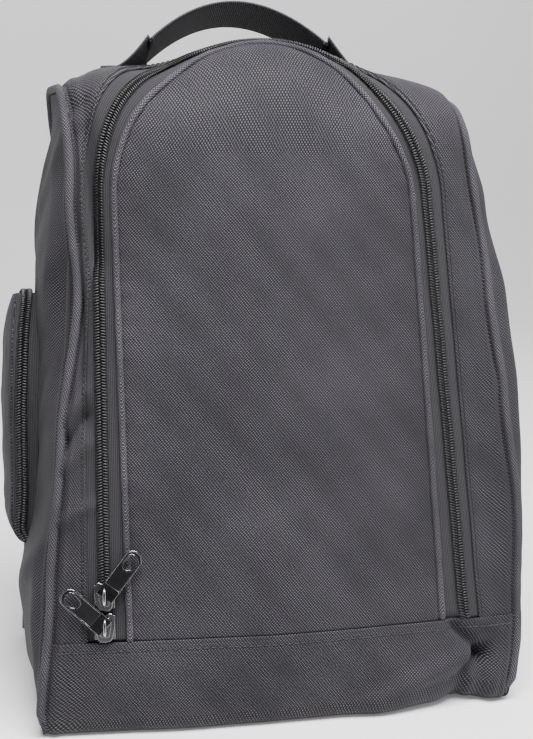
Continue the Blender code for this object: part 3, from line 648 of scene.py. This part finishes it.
def make_back(look):
    s = np.linspace(TOP_END_S + 0.0001, SEAM_LENGTH, 170)[:, None]
    edge = half_width(seam_frame(s)[1]) - SEAM_TUCK
    x = edge * np.linspace(-1, 1, 120)
    piece = cloth("back_panel_cloth", skin_to_foot(x, s), stack(x, s), look)
    dressed(piece, ["back_panel"])


def side_place(mirror, y, z):
    """A place on a side panel, with its slack, folds and sag, and its foot curled in."""
    front, back = panel_edge_y(z)
    from_seam = np.minimum(np.minimum(y - front, back - y), TOP_Z - SEAM_SETBACK - z)
    inside = smooth(from_seam / SAG_REACH)
    loose = 0.0008 * ripple(y + 0.05 * mirror, z, 0.022) + folds(-mirror * y, z, SIDE_FOLDS)
    sink = eased_knots(LEFT_SINK, z) if mirror < 0 else 0.0
    relief = seam_relief(y - front + SEAM_SETBACK)
    slack = seam_slack(mirror, z) * (1 - smooth(from_seam / SLACK_REACH[mirror]))
    puff, fades_at = PUFF[mirror]
    fade = 1 - smooth((y - front - fades_at) / PUFF_FADE)
    puff = eased_knots(puff, z) * smooth(from_seam / PUFF_RISE) * fade
    x = side_x(y, z) + relief + (loose - sink) * inside + slack + puff
    at_front = 1 - smooth((y - front) / FRONT_CURL_REACH)
    curl = CURL + (front_curl(mirror * half_width(0.0)) - CURL) * at_front
    turn = np.clip(1 - z / curl, 0.0, 1.0) * math.pi / 2
    low = np.where(z < curl, curl * (1 - np.sin(turn)), z)
    tucked = 1 - np.cos(turn)
    return stack(mirror * (x - curl * tucked), y + curl * tucked * at_front, low + shoulder(mirror, z))


def make_sides(look):
    inner = FRONT_RADIUS - SEAM_SETBACK
    rounds = FRONT_CENTRE[1] + inner * np.sin(np.linspace(0, math.pi / 2, 26)[1:])
    z = np.concatenate([np.linspace(0.0, FRONT_CENTRE[1], 150), rounds])[:, None]
    front, back = panel_edge_y(z)
    for side, mirror in SIDES:
        share = 0.5 - 0.5 * np.cos(np.linspace(0, math.pi, 150))[:: mirror]
        y = front - SIDE_TUCK + (back - front + 2 * SIDE_TUCK) * share
        piece = cloth(f"side_{side}_cloth", side_place(mirror, y, z), stack(y, z), look)
        dressed(piece, ["side_panel_" + side])


def make_base(look):
    x = np.linspace(-1, 1, 110) * (BASE_HALF_WIDTH - CURL)
    share = np.linspace(0, 1, 70)[:, None]
    curl = front_curl(x)
    front = skin_base(x, curl)[:, 1] + curl
    back = skin_base(x, np.full(110, SEAM_LENGTH - CURL))[:, 1] - CURL
    y = back + (front - back) * share
    z = np.maximum(0.0004 + 0.0004 * ripple(x, y, 0.025), 0.0) * np.sin(share * math.pi)
    piece = cloth("base_cloth", stack(x, y, z), stack(x, y), look)
    dressed(piece, ["base_panel"])


def make_side_piping(look):
    for side, mirror, foot in (("left", -1, 0.0035), ("right", 1, 0.005)):
        s = np.linspace(foot, SEAM_LENGTH - 0.0035, PIPING_STEPS)
        y, z = seam_frame(s)[:2]
        tuck = 0.4 * np.maximum(0.012 - s, 0.0)
        x = half_width(z) + seam_slack(mirror, z) + 0.4 * PIPING_PROUD - tuck
        proud = 0.7 * PIPING_PROUD * skin_normal(np.zeros(PIPING_STEPS), s)
        path = stack(mirror * x, y + proud[:, 1] + tuck, z + proud[:, 2] + shoulder(mirror, z))
        radius = PIPING_RADIUS * (1 + 0.04 * np.sin(s / 0.0021) + 0.05 * np.sin(s / 0.013))
        across = np.tile((1.0, 0, 0), (PIPING_STEPS, 1))
        piece = tube(f"side_piping_{side}_cloth", path, radius, look, across=across)
        dressed(piece, ["side_piping_" + side])


# Door and main zip


def make_door(look):
    base_s = np.linspace(ZIP_FOOT_S - 0.0006, ZIP_LEG_S, 150)
    turn = np.linspace(0, math.radians(88.5), 70)[1:]
    stations = np.concatenate([stack(-1.0, 0.0, base_s), stack(-np.cos(turn), np.sin(turn), ZIP_LEG_S)])
    edge_inset = door_inset(stations[:, 2]) + 0.5 * DOOR_PIPING_RADIUS
    x, s = zip_place(stations, edge_inset)
    half = np.abs(x - zip_shift(s))[:, None]
    s = s[:, None]
    share = crowded(130, 0.92 * math.pi / 2)
    from_edge = half * (1 - np.abs(share))
    pucker = 0.00025 * np.sin(s / 0.0016 + 3 * share) * np.exp(-from_edge / 0.005)
    tuck = pucker - 0.0010 * np.exp(-from_edge / 0.0022)
    x = half * share + zip_shift(s)
    piece = cloth("door_cloth", skin(x, s, tuck), stack(x, s), look)
    dressed(piece, ["door_panel", "door_foot"], body=None)
    door_bend(piece)


def make_door_piping(look):
    stations = round_stations()
    path = zip_point(stations, door_inset(stations[:, 2]), -0.0003)
    radius = DOOR_PIPING_RADIUS * (1 + 0.05 * np.sin(lengths_along(path) / 0.0023))
    out = skin_normal(*zip_place(stations, 0.0))
    piece = tube("door_piping_cloth", path, radius, look, across=out)
    feet = ["door_piping_foot_left", "door_piping_foot_right"]
    dressed(piece, ["door_piping", *feet], body=None, bend=door_bend)


def make_tapes(look):
    stations = round_stations()
    along = lengths_along(zip_point(stations, 0.0))
    edge = door_inset(stations[:, 2]) - 0.6 * DOOR_PIPING_RADIUS
    feet = ["door_tape_foot_left", "door_tape_foot_right"]
    for name, start, end, nodes, body, bend in (
        ("zip_tape_bag_side", TAPE_START, TAPE_END + 0.001 + 0 * edge, ["zip_tape_outer"], "root", None),
        ("zip_tape_door_side", -edge, -TAPE_START, ["zip_tape_inner", *feet], None, door_bend),
    ):
        share = np.linspace(0, 1, 9)
        distance = start + (end - start) * share[:, None]
        depth = TAPE_DEPTH - 0.0002 * np.sin(math.pi * share)
        rows = np.array([zip_point(stations, -row, -low) for row, low in zip(distance, depth)])
        piece = cloth(name, rows, stack(distance, along), look, thickness=TAPE)
        dressed(piece, nodes, body, bend)


def make_coils(look):
    stations = round_stations()
    centre = zip_point(stations, 0.0)
    across = unit(zip_point(stations, 0.002) - centre)
    out = skin_normal(*zip_place(stations, 0.0))
    feet = ["door_coil_foot_left", "door_coil_foot_right"]
    make_coil_pair("zip", "door", feet, door_bend, (centre, across, out), look)


# Sliders and pulls, across on X, along on Y and out on Z


def plate(outlines, low, high, edge=0.00028):
    """The vertices and faces of a flat plate with rounded edges, from closed outlines and holes."""
    curve = bpy.data.curves.new("plate", "CURVE")
    curve.dimensions = "2D"
    curve.fill_mode = "BOTH"
    curve.extrude = (high - low) / 2 - edge
    curve.bevel_depth = edge
    curve.bevel_resolution = 2
    curve.offset = -edge
    for outline in outlines:
        spline = curve.splines.new("POLY")
        spline.points.add(len(outline) - 1)
        spline.use_cyclic_u = True
        for (x, y), target in zip(outline, spline.points):
            target.co = (x, y, 0.0, 1.0)
    flat = bpy.data.objects.new("plate", curve)
    bpy.context.scene.collection.objects.link(flat)
    bpy.context.view_layer.update()
    mesh = flat.evaluated_get(bpy.context.evaluated_depsgraph_get()).to_mesh()
    vertices = np.array([vertex.co for vertex in mesh.vertices]) + (0, 0, (low + high) / 2)
    faces = [list(face.vertices) for face in mesh.polygons]
    flat.to_mesh_clear()
    bpy.data.objects.remove(flat)
    return vertices, faces


def arc(centre, radius, start, end, steps):
    turns = np.radians(np.linspace(start, end, steps + 1))
    return [(centre[0] + radius * math.cos(turn), centre[1] + radius * math.sin(turn)) for turn in turns]


def rounded_box(half_x, half_y, radius, centre=(0.0, 0.0)):
    outline = []
    for quarter, (sign_x, sign_y) in enumerate(((1, 1), (-1, 1), (-1, -1), (1, -1))):
        corner = (centre[0] + sign_x * (half_x - radius), centre[1] + sign_y * (half_y - radius))
        outline += arc(corner, radius, quarter * 90, quarter * 90 + 90, 5)
    return outline


def slider_arrays():
    """A zip slider: a shield-shaped top plate, notched, a bridge, two flanges and a back plate."""
    right = [(0.0, -0.0069), (0.0022, -0.0067), (0.0034, -0.0056), (0.0041, -0.0030), (0.0048, 0.0008)]
    right += [(0.0047, 0.0044), (0.0038, 0.0062), (0.0024, 0.0068), (0.0010, 0.0060), (0.0, 0.0056)]
    left = [(-x, y) for x, y in right[1:-1]][::-1]
    parts = [plate([right + left], 0.0019, 0.0030, 0.0004)]
    parts.append(plate([[(x * 0.62, y * 0.70) for x, y in right + left]], 0.0026, 0.0034, 0.0003))
    parts.append(plate([rounded_box(0.0042, 0.0060, 0.0010)], -0.0034, -0.0024))
    for x in (-0.0042, 0.0042):
        parts.append(plate([rounded_box(0.0006, 0.0055, 0.0004, (x, 0.0))], -0.0028, 0.0024))
    turn = np.linspace(0, math.pi, 25)
    squared = np.abs(np.cos(turn)) ** 0.55 * np.sign(np.cos(turn))
    bridge = stack(0.0, -0.0037 * squared, 0.0030 + 0.0031 * np.sin(turn) ** 0.6)
    parts.append(tube_arrays(bridge, 0.00085, 12, across=np.tile((1.0, 0, 0), (25, 1))))
    parts.append(plate([rounded_box(0.00035, 0.0020, 0.0002, (0.0, 0.0030))], -0.0030, 0.0024, 0.0001))
    return joined_arrays(parts)


def pull_arrays():
    """A flat pull with a raised rim, a window where it hangs on the bridge and an oval hole near its tip."""
    half, length, thick = 0.0045, 0.026, 0.0007
    rim = 0.0008
    outer, inner = (
        [(reach, foot)] + arc((0, length - half), reach, 0, 180, 20) + [(-reach, foot)]
        for reach, foot in ((half, -0.0006), (half - rim, 0.0060))
    )
    window = [(-0.00365, 0.0006), (-0.00365, 0.0054), (0.00365, 0.0054), (0.00365, 0.0006)]
    oval, lip = (
        arc((0, 0.0210), radius, 0, 180, 14) + arc((0, 0.0188), radius, 180, 360, 14)
        for radius in (0.0026, 0.0033)
    )
    parts = [plate([outer, inner[::-1], window], -thick, thick, 0.00035)]
    parts.append(plate([inner, oval[::-1]], 0.0003 - thick, thick - 0.0004, 0.00005))
    parts.append(plate([lip, oval[::-1]], 0.0001 - thick, thick - 0.0001, 0.0002))
    return joined_arrays(parts)


def paint_wear_and_highlight_edges(mesh, wear_and_highlight):
    """Gives the bevels along the upper edges of a plate a lighter metal, which is wear and a painted
    highlight.
    """
    mesh.materials.append(wear_and_highlight)
    for face in mesh.polygons:
        face.material_index = int(0.25 < face.normal.z < 0.95)


def zip_frame(s):
    """The frame of a slider on the left leg: X towards the door, Y up the leg, Z out."""
    here, there = (stack(-zip_half_width(at) + zip_shift(at), at) for at in (s, s + 0.1))
    origin = skin_base(*here)
    along = unit(skin_base(*there) - origin)
    out = skin_normal(*here)
    across = unit(np.cross(along, out))
    turned = Matrix(np.stack([across, along, np.cross(across, along)], 1).tolist())
    return Matrix.Translation(origin.tolist()) @ turned.to_4x4()


def pocket_slider_frame():
    """The frame of the pocket's slider on the rear leg: X away from the bag, Y up, Z to the back."""
    turned = Matrix(((-1, 0, 0), (0, 0, 1), (0, 1, 0)))
    x = float(pocket_zip_x(POCKET_SLIDER_Z))
    return Matrix.Translation((-x, POCKET_Y + POCKET_HALF_WIDTH, POCKET_SLIDER_Z)) @ turned.to_4x4()


def make_sliders(slider_look, pull_look, wear_and_highlight):
    slider, pull = slider_arrays(), pull_arrays()
    for name, place, skew in (
        ("lower", zip_frame(LOWER_SLIDER_S), LOWER_PULL_SKEW),
        ("upper", zip_frame(UPPER_SLIDER_S), UPPER_PULL_SKEW),
        ("pocket", pocket_slider_frame(), math.pi),
    ):
        hung = place @ Matrix.Translation((0, 0, PULL_LIFT)) @ Matrix.Rotation(skew, 4, "Z")
        for part, arrays, at, look in (
            ("slider", slider, place, slider_look),
            ("pull", pull, hung, pull_look),
        ):
            piece = mesh_piece(f"{name}_{part}_metal", *arrays, look)
            paint_wear_and_highlight_edges(piece.data, wear_and_highlight)
            piece.data.transform(at)
            piece.data.set_sharp_from_angle(angle=math.radians(38))
            dressed(piece, [f"{name}_{part}"], body=f"{name}_{part}")


# Handle


def skin_top(x, y):
    s = TOP_START_S + y - FRONT_CENTRE[0]
    return skin_base(x, s)[..., 2] + shoulder_lift(x, seam_frame(s)[1])


def tab_place(mirror, along, reach):
    """A place on a sewn tab: along from 0 at the loop to 1 at its end, reach across it from -0.5 to 0.5."""
    x = HANDLE_X + mirror * (HANDLE_HALF_SPAN + TAB_LENGTH * along)
    left = np.maximum(1 - TAB_LENGTH * along / TAB_LIFT_LENGTH, 0.0)
    under = skin_top(HANDLE_X + mirror * HANDLE_HALF_SPAN, HANDLE_Y)
    lift = HANDLE_Z - under - TAB_CLEARANCE - STRAP_THICKNESS
    y = HANDLE_Y + reach * STRAP_WIDTH * np.cos(HANDLE_LEAN * left)
    z = skin_top(x + 0 * y, y) + TAB_CLEARANCE + STRAP_THICKNESS + lift * left**1.5
    return stack(x, y, z - reach * STRAP_WIDTH * math.sin(HANDLE_LEAN) * left)


def make_handle(look, thread):
    reach = np.linspace(0.5, -0.5, 51)
    up = np.array((0, math.sin(HANDLE_LEAN), math.cos(HANDLE_LEAN)))
    rear = np.array((0, math.cos(HANDLE_LEAN), -math.sin(HANDLE_LEAN)))
    share = np.linspace(-1, 1, 130)[:, None, None]
    centre = np.array((HANDLE_X, HANDLE_Y, HANDLE_Z)) + share * (HANDLE_HALF_SPAN, 0, 0)
    loop = centre + up * HANDLE_RISE * (1 - share**2) + rear * STRAP_WIDTH * reach[None, :, None]
    along = np.linspace(0.04, 1, 50)[:, None]
    rows = np.concatenate([tab_place(-1, along, reach)[::-1], loop, tab_place(1, along, reach)])
    ribs = 0.00013 * np.abs(np.sin(reach * STRAP_WIDTH / 0.0009 * math.pi / 2))
    ribs = ribs - 0.0004 * (np.abs(reach) > 0.49)
    normal = unit(np.cross(np.gradient(rows, axis=1), np.gradient(rows, axis=0)))
    run = lengths_along(rows[:, 25])[:, None]
    points = rows + normal * ribs[None, :, None]
    piece = cloth("handle_webbing", points, stack(reach * STRAP_WIDTH, run), look, STRAP_THICKNESS)
    dressed(piece, ["handle_strap", "handle_tab_left", "handle_tab_right"], body=None)
    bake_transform(piece)
    corners = ((0.42, -0.40), (0.94, -0.40), (0.94, 0.40), (0.42, 0.40), (0.42, -0.40), (0.94, 0.40))
    for side, mirror in SIDES:
        path = evenly(tab_place(mirror, *np.transpose(corners)), 0.001)[0]
        path[:, 2] = skin_top(path[:, 0], path[:, 1]) + TAB_CLEARANCE + STRAP_THICKNESS + 0.0001
        sewn = stitches(f"handle_stitches_{side}", path, np.tile((0, 0, 1.0), (len(path), 1)), thread)
        dressed(sewn)


# Left pocket


def pocket_zip_x(z):
    return POCKET_ZIP_X - POCKET_LEAN * np.maximum(z - POCKET_LEAN_Z, 0.0) ** 2 - eased_knots(LEFT_SINK, z)


def pocket_run_x(y, z):
    """How far out the pocket's zip runs: it follows the face where that curls in at the foot."""
    return np.minimum(pocket_zip_x(z), pocket_face_x(y, z) - POCKET_RUN_INSET)


def pocket_face_x(y, z):
    full = pocket_zip_x(z) + POCKET_FACE
    drop = np.clip((POCKET_FULL_Z - z) / (POCKET_FULL_Z - POCKET_FOOT_Z), 0.0, 1.0)
    low = side_x(y, z) + FABRIC + 0.0004 - eased_knots(LEFT_SINK, z)
    curled = low + (full - low) * np.sqrt(1 - drop * drop)
    share = (y - POCKET_Y) / POCKET_HALF_WIDTH
    dome = POCKET_DOME * (1 - share * share) * np.clip((z - POCKET_FULL_Z) / 0.02, 0.0, 1.0)
    return np.where(z < POCKET_FULL_Z, curled, full + dome)


def pocket_bend(piece):
    """Works out the x of the pocket's fold line, which nothing uses, and bakes the piece's placement into its
    mesh.
    """
    hinge_x = -float(pocket_face_x(POCKET_Y, POCKET_FOLD_Z))
    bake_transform(piece)


def make_pocket(look, tape, nylon):
    out_y, out_z, base_z = legs_and_arch(np.linspace(POCKET_FOOT_Z + 0.0015, POCKET_LEG_Z, 50), 79).T
    y = POCKET_Y + out_y * (POCKET_HALF_WIDTH - TAPE_DEPTH)
    z = base_z + out_z * (POCKET_ARCH_RISE - TAPE_DEPTH)
    along = lengths_along(stack(0 * y, y, z))
    run = pocket_run_x(y, z)
    under_side = side_x(y, z) - eased_knots(LEFT_SINK, z) - 0.0010
    under_face = pocket_face_x(y, z) - POCKET_FABRIC - 0.0002
    inner = ["pocket_tape_inner", "pocket_tape_foot_front", "pocket_tape_foot_rear"]
    for name, start, end, nodes, body, bend in (
        ("pocket_tape_bag_side", under_side, run - TAPE_START, ["pocket_tape_outer"], "root", None),
        ("pocket_tape_flap_side", run + TAPE_START, under_face, inner, None, pocket_bend),
    ):
        share = np.linspace(0, 1, 7)[:, None]
        x = start + (end - start) * share
        piece = cloth(name, stack(-x, y, z), stack(x, along), tape, thickness=TAPE)
        dressed(piece, nodes, body, bend)
    y = POCKET_Y + out_y * POCKET_HALF_WIDTH
    z = base_z + out_z * POCKET_ARCH_RISE
    centre = stack(-pocket_run_x(y, z), y, z)
    out = stack(0 * out_y, out_y, out_z)
    across = np.tile((-1.0, 0, 0), (len(centre), 1))
    feet = ["pocket_coil_foot_front", "pocket_coil_foot_rear"]
    make_coil_pair("pocket", "flap", feet, pocket_bend, (centre, across, out), nylon)
    make_pocket_face(look)


def make_pocket_face(look):
    half = POCKET_HALF_WIDTH - POCKET_FACE_INSET
    turn = np.linspace(0, math.pi / 2, 16)
    curl = POCKET_FULL_Z - (POCKET_FULL_Z - POCKET_FOOT_Z) * np.cos(turn)
    straight = np.linspace(POCKET_FULL_Z, POCKET_LEG_Z, 40)[1:]
    turn = np.linspace(0, math.radians(88), 40)[1:]
    arch = POCKET_LEG_Z + (POCKET_ARCH_RISE - POCKET_FACE_INSET) * np.sin(turn)
    z = np.concatenate([curl, straight, arch])[:, None]
    width = np.concatenate([np.full(len(curl) + len(straight), half), half * np.cos(turn)])[:, None]
    share = crowded(60, 0.9 * math.pi / 2)[::-1]
    y = POCKET_Y + width * share
    from_edge = np.minimum(width * (1 - np.abs(share)), POCKET_LEG_Z + POCKET_ARCH_RISE - z)
    puff = 0.0016 * smooth(from_edge / 0.014) - 0.0006 * (1 - smooth(from_edge / 0.0015))
    puff = puff + 0.0005 * ripple(y, z, 0.012) * smooth(from_edge / 0.01)
    puff = puff - 0.00035 * bump(from_edge, 0.0024, 0.0005)
    puff = puff * smooth((z - POCKET_FOOT_Z) / 0.008)
    points = stack(-(pocket_face_x(y, z) + puff), y, z)
    piece = cloth("pocket_face_cloth", points, stack(y, z), look, POCKET_FABRIC)
    dressed(piece, ["pocket_panel", "pocket_foot"], body=None)
    pocket_bend(piece)


# Materials


class Look:
    """A material under construction: its nodes are made by short calls that return an output socket."""

    def __init__(self, name, roughness, metallic=0.0, specular=0.5):
        self.material = bpy.data.materials.new(name)
        self.material.use_nodes = True
        self.tree = self.material.node_tree
        self.shader = self.tree.nodes["Principled BSDF"]
        self.shader.inputs["Roughness"].default_value = roughness
        self.shader.inputs["Metallic"].default_value = metallic
        self.shader.inputs["Specular IOR Level"].default_value = specular

    def put(self, value, socket):
        if isinstance(value, bpy.types.NodeSocket):
            self.tree.links.new(value, socket)
        else:
            socket.default_value = value

    def node(self, kind, **inputs):
        made = self.tree.nodes.new(kind)
        for name, value in inputs.items():
            self.put(value, made.inputs[name.replace("_", " ")])
        return made

    def math(self, operation, *values):
        made = self.node("ShaderNodeMath")
        made.operation = operation
        for value, socket in zip(values, made.inputs):
            self.put(value, socket)
        return made.outputs[0]

    def cloth_places(self):
        """The two coordinates on the flat cloth, in metres, and the vector of both."""
        place = self.node("ShaderNodeUVMap")
        place.uv_map = "cloth"
        apart = self.node("ShaderNodeSeparateXYZ", Vector=place.outputs["UV"])
        return apart.outputs["X"], apart.outputs["Y"], place.outputs["UV"]

    def object_place(self):
        return self.node("ShaderNodeTexCoord").outputs["Object"]

    def noise(self, place, size, detail=2.0, roughness=0.5):
        """Noise from about 0 to 1, in patches about as large as size."""
        kind = "ShaderNodeTexNoise"
        made = self.node(kind, Vector=place, Scale=1 / size, Detail=detail, Roughness=roughness)
        return made.outputs["Fac"]

    def mix(self, share, low, high):
        """A mix of two values by share."""
        return self.math("MULTIPLY_ADD", share, self.math("SUBTRACT", high, low), low)

    def waves(self, place, pitch, phase=0.0):
        """A ripple from 0 to 1 along a coordinate."""
        turn = self.math("MULTIPLY_ADD", place, 2 * math.pi / pitch, phase)
        return self.math("MULTIPLY_ADD", self.math("SINE", turn), 0.5, 0.5)

    def colours(self, share, stops):
        """A colour from a share by stops of place and grey or colour."""
        made = self.node("ShaderNodeValToRGB", Fac=share)
        ramp = made.color_ramp
        while len(ramp.elements) < len(stops):
            ramp.elements.new(0.5)
        for element, (place, colour) in zip(ramp.elements, stops):
            element.position = place
            element.color = (*colour, 1.0)
        self.put(made.outputs["Color"], self.shader.inputs["Base Color"])

    def bumps(self, height, depth, strength=1.0):
        made = self.node("ShaderNodeBump", Height=height, Distance=depth, Strength=strength)
        self.put(made.outputs["Normal"], self.shader.inputs["Normal"])

    def finish(self, name, value):
        self.put(value, self.shader.inputs[name])

    def sheen(self, weight, roughness):
        self.finish("Sheen Weight", weight)
        self.finish("Sheen Roughness", roughness)


TWILL_PITCH = 0.00150
THREAD_PITCH = 0.00074


def twill_look(name="charcoal_twill", tone=1.0):
    """Polyester twill: steep ribs, cut into floats by the threads that cross them, with uneven dye."""
    look = Look(name, roughness=0.72, specular=0.12)
    u, v, place = look.cloth_places()
    solid_place = look.object_place()
    wobble = look.math("MULTIPLY", look.noise(solid_place, 0.004), 4.5)
    rib = look.waves(look.math("ADD", u, look.math("MULTIPLY", v, 0.8)), TWILL_PITCH, wobble)
    steps = look.math("SUBTRACT", u, look.math("MULTIPLY", v, 1.1))
    steps = look.waves(steps, THREAD_PITCH * 1.9, wobble)
    weave = look.mix(look.noise(solid_place, 0.0016, 1.0), rib, steps)
    weave = look.math("MULTIPLY", weave, look.mix(look.waves(v, THREAD_PITCH), 0.72, 1.0))
    yarn = look.noise(place, 0.0007, 2.0, 0.7)
    height = look.mix(yarn, look.math("MULTIPLY", weave, 0.72), weave)
    patch = look.noise(solid_place, 0.05, 3.0)
    share = look.math("ADD", height, look.math("MULTIPLY_ADD", patch, 0.30, -0.15))
    dark, middle, light = (0.005, 0.0045, 0.006), (0.023, 0.0215, 0.0255), (0.135, 0.128, 0.144)
    stops = [(0.10, dark), (0.48, middle), (0.92, light)]
    look.colours(share, [(at, tuple(tone * part for part in colour)) for at, colour in stops])
    look.finish("Roughness", look.mix(yarn, 0.62, 0.85))
    look.sheen(0.03, 0.5)
    look.bumps(height, 0.00022, 0.8)
    return look.material


def tape_look():
    """Woven zip tape: fine ribs along it, matt and a little fuzzy."""
    look = Look("black_zip_tape", roughness=0.9, specular=0.2)
    u, v = look.cloth_places()[:2]
    rib = look.math("MULTIPLY", look.waves(u, 0.00085), look.mix(look.waves(v, 0.0007), 0.6, 1.0))
    fuzz = look.noise(look.object_place(), 0.0005, 3.0, 0.7)
    height = look.mix(0.5, rib, fuzz)
    look.colours(height, [(0.15, (0.003, 0.003, 0.0035)), (0.8, (0.046, 0.043, 0.049))])
    look.sheen(0.05, 0.6)
    look.bumps(height, 0.00025)
    return look.material


def nylon_look():
    """Black nylon line, smooth and fairly glossy, unevenly so."""
    look = Look("black_nylon_coil", roughness=0.35)
    spots = look.noise(look.object_place(), 0.0012, 2.0)
    look.colours(spots, [(0.3, (0.003, 0.003, 0.0035)), (0.75, (0.016, 0.016, 0.018))])
    look.finish("Roughness", look.mix(spots, 0.25, 0.5))
    return look.material


def webbing_look():
    """Woven nylon webbing: cords along the strap, crossed by close picks."""
    look = Look("black_webbing", roughness=0.7, specular=0.35)
    u, v = look.cloth_places()[:2]
    pick = look.waves(v, 0.0011, look.math("MULTIPLY", look.math("PINGPONG", u, 0.0009), 1800.0))
    cord = look.waves(u, 0.0009)
    height = look.math("MULTIPLY", pick, look.mix(cord, 0.45, 1.0))
    fuzz = look.noise(look.object_place(), 0.0006, 2.0)
    height = look.mix(0.35, height, fuzz)
    dark, middle, light = (0.005, 0.0045, 0.006), (0.020, 0.018, 0.023), (0.075, 0.07, 0.08)
    look.colours(height, [(0.1, dark), (0.5, middle), (0.95, light)])
    look.sheen(0.05, 0.4)
    look.bumps(height, 0.00030)
    return look.material


def thread_look():
    """Sewing thread with a tight twist."""
    look = Look("black_thread", roughness=0.55)
    twist = look.noise(look.object_place(), 0.0005, 2.0)
    look.colours(twist, [(0.3, (0.004, 0.004, 0.005)), (0.75, (0.018, 0.017, 0.020))])
    look.bumps(twist, 0.0001)
    return look.material


def metal_look(name, tone):
    """Black nickel plating: dark and glossy, faintly uneven; tone is its lightness."""
    look = Look(name, roughness=0.2, metallic=1.0)
    place = look.object_place()
    cloud = look.noise(place, 0.004, 3.0)
    scratch = look.noise(place, 0.0008, 4.0, 0.75)
    dark, light = ([tone * part for part in tint] for tint in ((0.7, 0.68, 0.72), (1.0, 0.97, 1.02)))
    look.colours(cloud, [(0.25, dark), (0.8, light)])
    look.finish("Roughness", look.mix(scratch, 0.16, 0.30))
    look.bumps(scratch, 0.00001, 0.3)
    return look.material


def board_look():
    """Black corrugated plastic board inside the base."""
    look = Look("black_board", roughness=0.5)
    grain = look.noise(look.object_place(), 0.002, 4.0)
    look.colours(grain, [(0.3, (0.012, 0.012, 0.012)), (0.8, (0.035, 0.035, 0.036))])
    look.bumps(grain, 0.0002)
    return look.material


def floor_look():
    look = Look("pale_floor", roughness=0.85, specular=0.2)
    look.finish("Emission Color", (1.0, 1.0, 1.0, 1.0))
    look.finish("Emission Strength", 0.12)
    grain = look.noise(look.object_place(), 0.3, 2.0)
    look.colours(grain, [(0.3, (0.90, 0.90, 0.90)), (0.8, (0.93, 0.93, 0.93))])
    return look.material


# Floor, lights and camera

CAMERA_PLACE = (-0.1508, -0.6845, 0.2819)
CAMERA_AZIMUTH = math.radians(-12.5)
CAMERA_ELEVATION = math.radians(9.87)
CAMERA_ROLL = math.radians(0.65)
CAMERA_LENS = 67.5


def make_floor(look):
    """A floor that curves up into a backdrop."""
    turn = np.linspace(0, math.pi / 2, 16)
    y = np.concatenate([[-6.0], 1.2 + 0.5 * np.sin(turn), [1.7]])
    z = np.concatenate([[0.0], 0.5 - 0.5 * np.cos(turn), [3.0]])
    x = np.linspace(-6.0, 6.0, 3)
    rows = stack(x[None, :], y[:, None], z[:, None])
    floor = cloth("studio_floor", rows, rows[..., :2], look, thickness=0)
    floor.location.z = -0.0002


def make_light(name, place, target, size, power):
    lamp = bpy.data.lights.new(name, "AREA")
    lamp.shape = "RECTANGLE"
    lamp.size, lamp.size_y = size
    lamp.energy = power
    holder = bpy.data.objects.new(name, lamp)
    bpy.context.scene.collection.objects.link(holder)
    holder.location = place
    holder.rotation_euler = (Vector(target) - Vector(place)).to_track_quat("-Z", "Y").to_euler()


def make_lights():
    middle = (0.0, 0.0, 0.16)
    make_light("top_softbox", (0.05, -0.42, 1.05), middle, (0.8, 0.5), 37.0)
    make_light("left_softbox", (-1.10, -0.70, 0.55), middle, (0.7, 1.1), 1.0)
    make_light("right_softbox", (1.15, -0.60, 0.50), middle, (0.7, 1.1), 3.0)
    make_light("rear_softbox", (0.2, 1.10, 0.95), middle, (1.2, 0.6), 5.0)
    world = bpy.data.worlds.new("studio")
    world.use_nodes = True
    background = world.node_tree.nodes["Background"]
    background.inputs["Color"].default_value = (1.0, 1.0, 1.0, 1.0)
    background.inputs["Strength"].default_value = 0.30
    bpy.context.scene.world = world


def make_camera():
    turn, rise = CAMERA_AZIMUTH, CAMERA_ELEVATION
    back = Vector((math.sin(turn) * math.cos(rise), -math.cos(turn) * math.cos(rise), math.sin(rise)))
    level = Vector((math.cos(turn), math.sin(turn), 0.0))
    up = back.cross(level)
    right = level * math.cos(CAMERA_ROLL) + up * math.sin(CAMERA_ROLL)
    lens = bpy.data.cameras.new("camera")
    lens.lens = CAMERA_LENS
    lens.sensor_width = 36.0
    camera = bpy.data.objects.new("camera", lens)
    turned = Matrix((right, back.cross(right), back)).transposed().to_4x4()
    camera.matrix_world = Matrix.Translation(CAMERA_PLACE) @ turned
    bpy.context.scene.collection.objects.link(camera)
    bpy.context.scene.camera = camera


def redress(node, look):
    """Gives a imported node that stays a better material."""
    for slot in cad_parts[node].material_slots:
        slot.material = look


def main():
    twill, tape, nylon = twill_look(), tape_look(), nylon_look()
    # The pipings get a copy of the twill painted 1.6 times lighter: a painted highlight on their raised cords.
    lit_twill_copy = twill_look("charcoal_twill_painted_lighter", 1.6)
    webbing, thread = webbing_look(), thread_look()
    slider_metal, pull_metal = metal_look("grey_nickel", 0.10), metal_look("black_nickel", 0.04)
    make_surround(twill, thread)
    make_band(twill, thread)
    make_back(twill)
    make_sides(twill)
    make_base(twill)
    make_side_piping(lit_twill_copy)
    make_door(twill)
    make_door_piping(lit_twill_copy)
    make_tapes(tape)
    make_coils(nylon)
    # The lighter nickel on the upper bevels of sliders and pulls is wear and a painted highlight.
    make_sliders(slider_metal, pull_metal, metal_look("nickel_wear_and_painted_highlight", 0.38))
    make_handle(webbing, thread)
    make_pocket(twill, tape, nylon)
    redress("base_board", board_look())
    for side, _ in SIDES:
        redress("seam_binding_" + side, tape)
    make_floor(floor_look())
    make_lights()
    make_camera()


main()
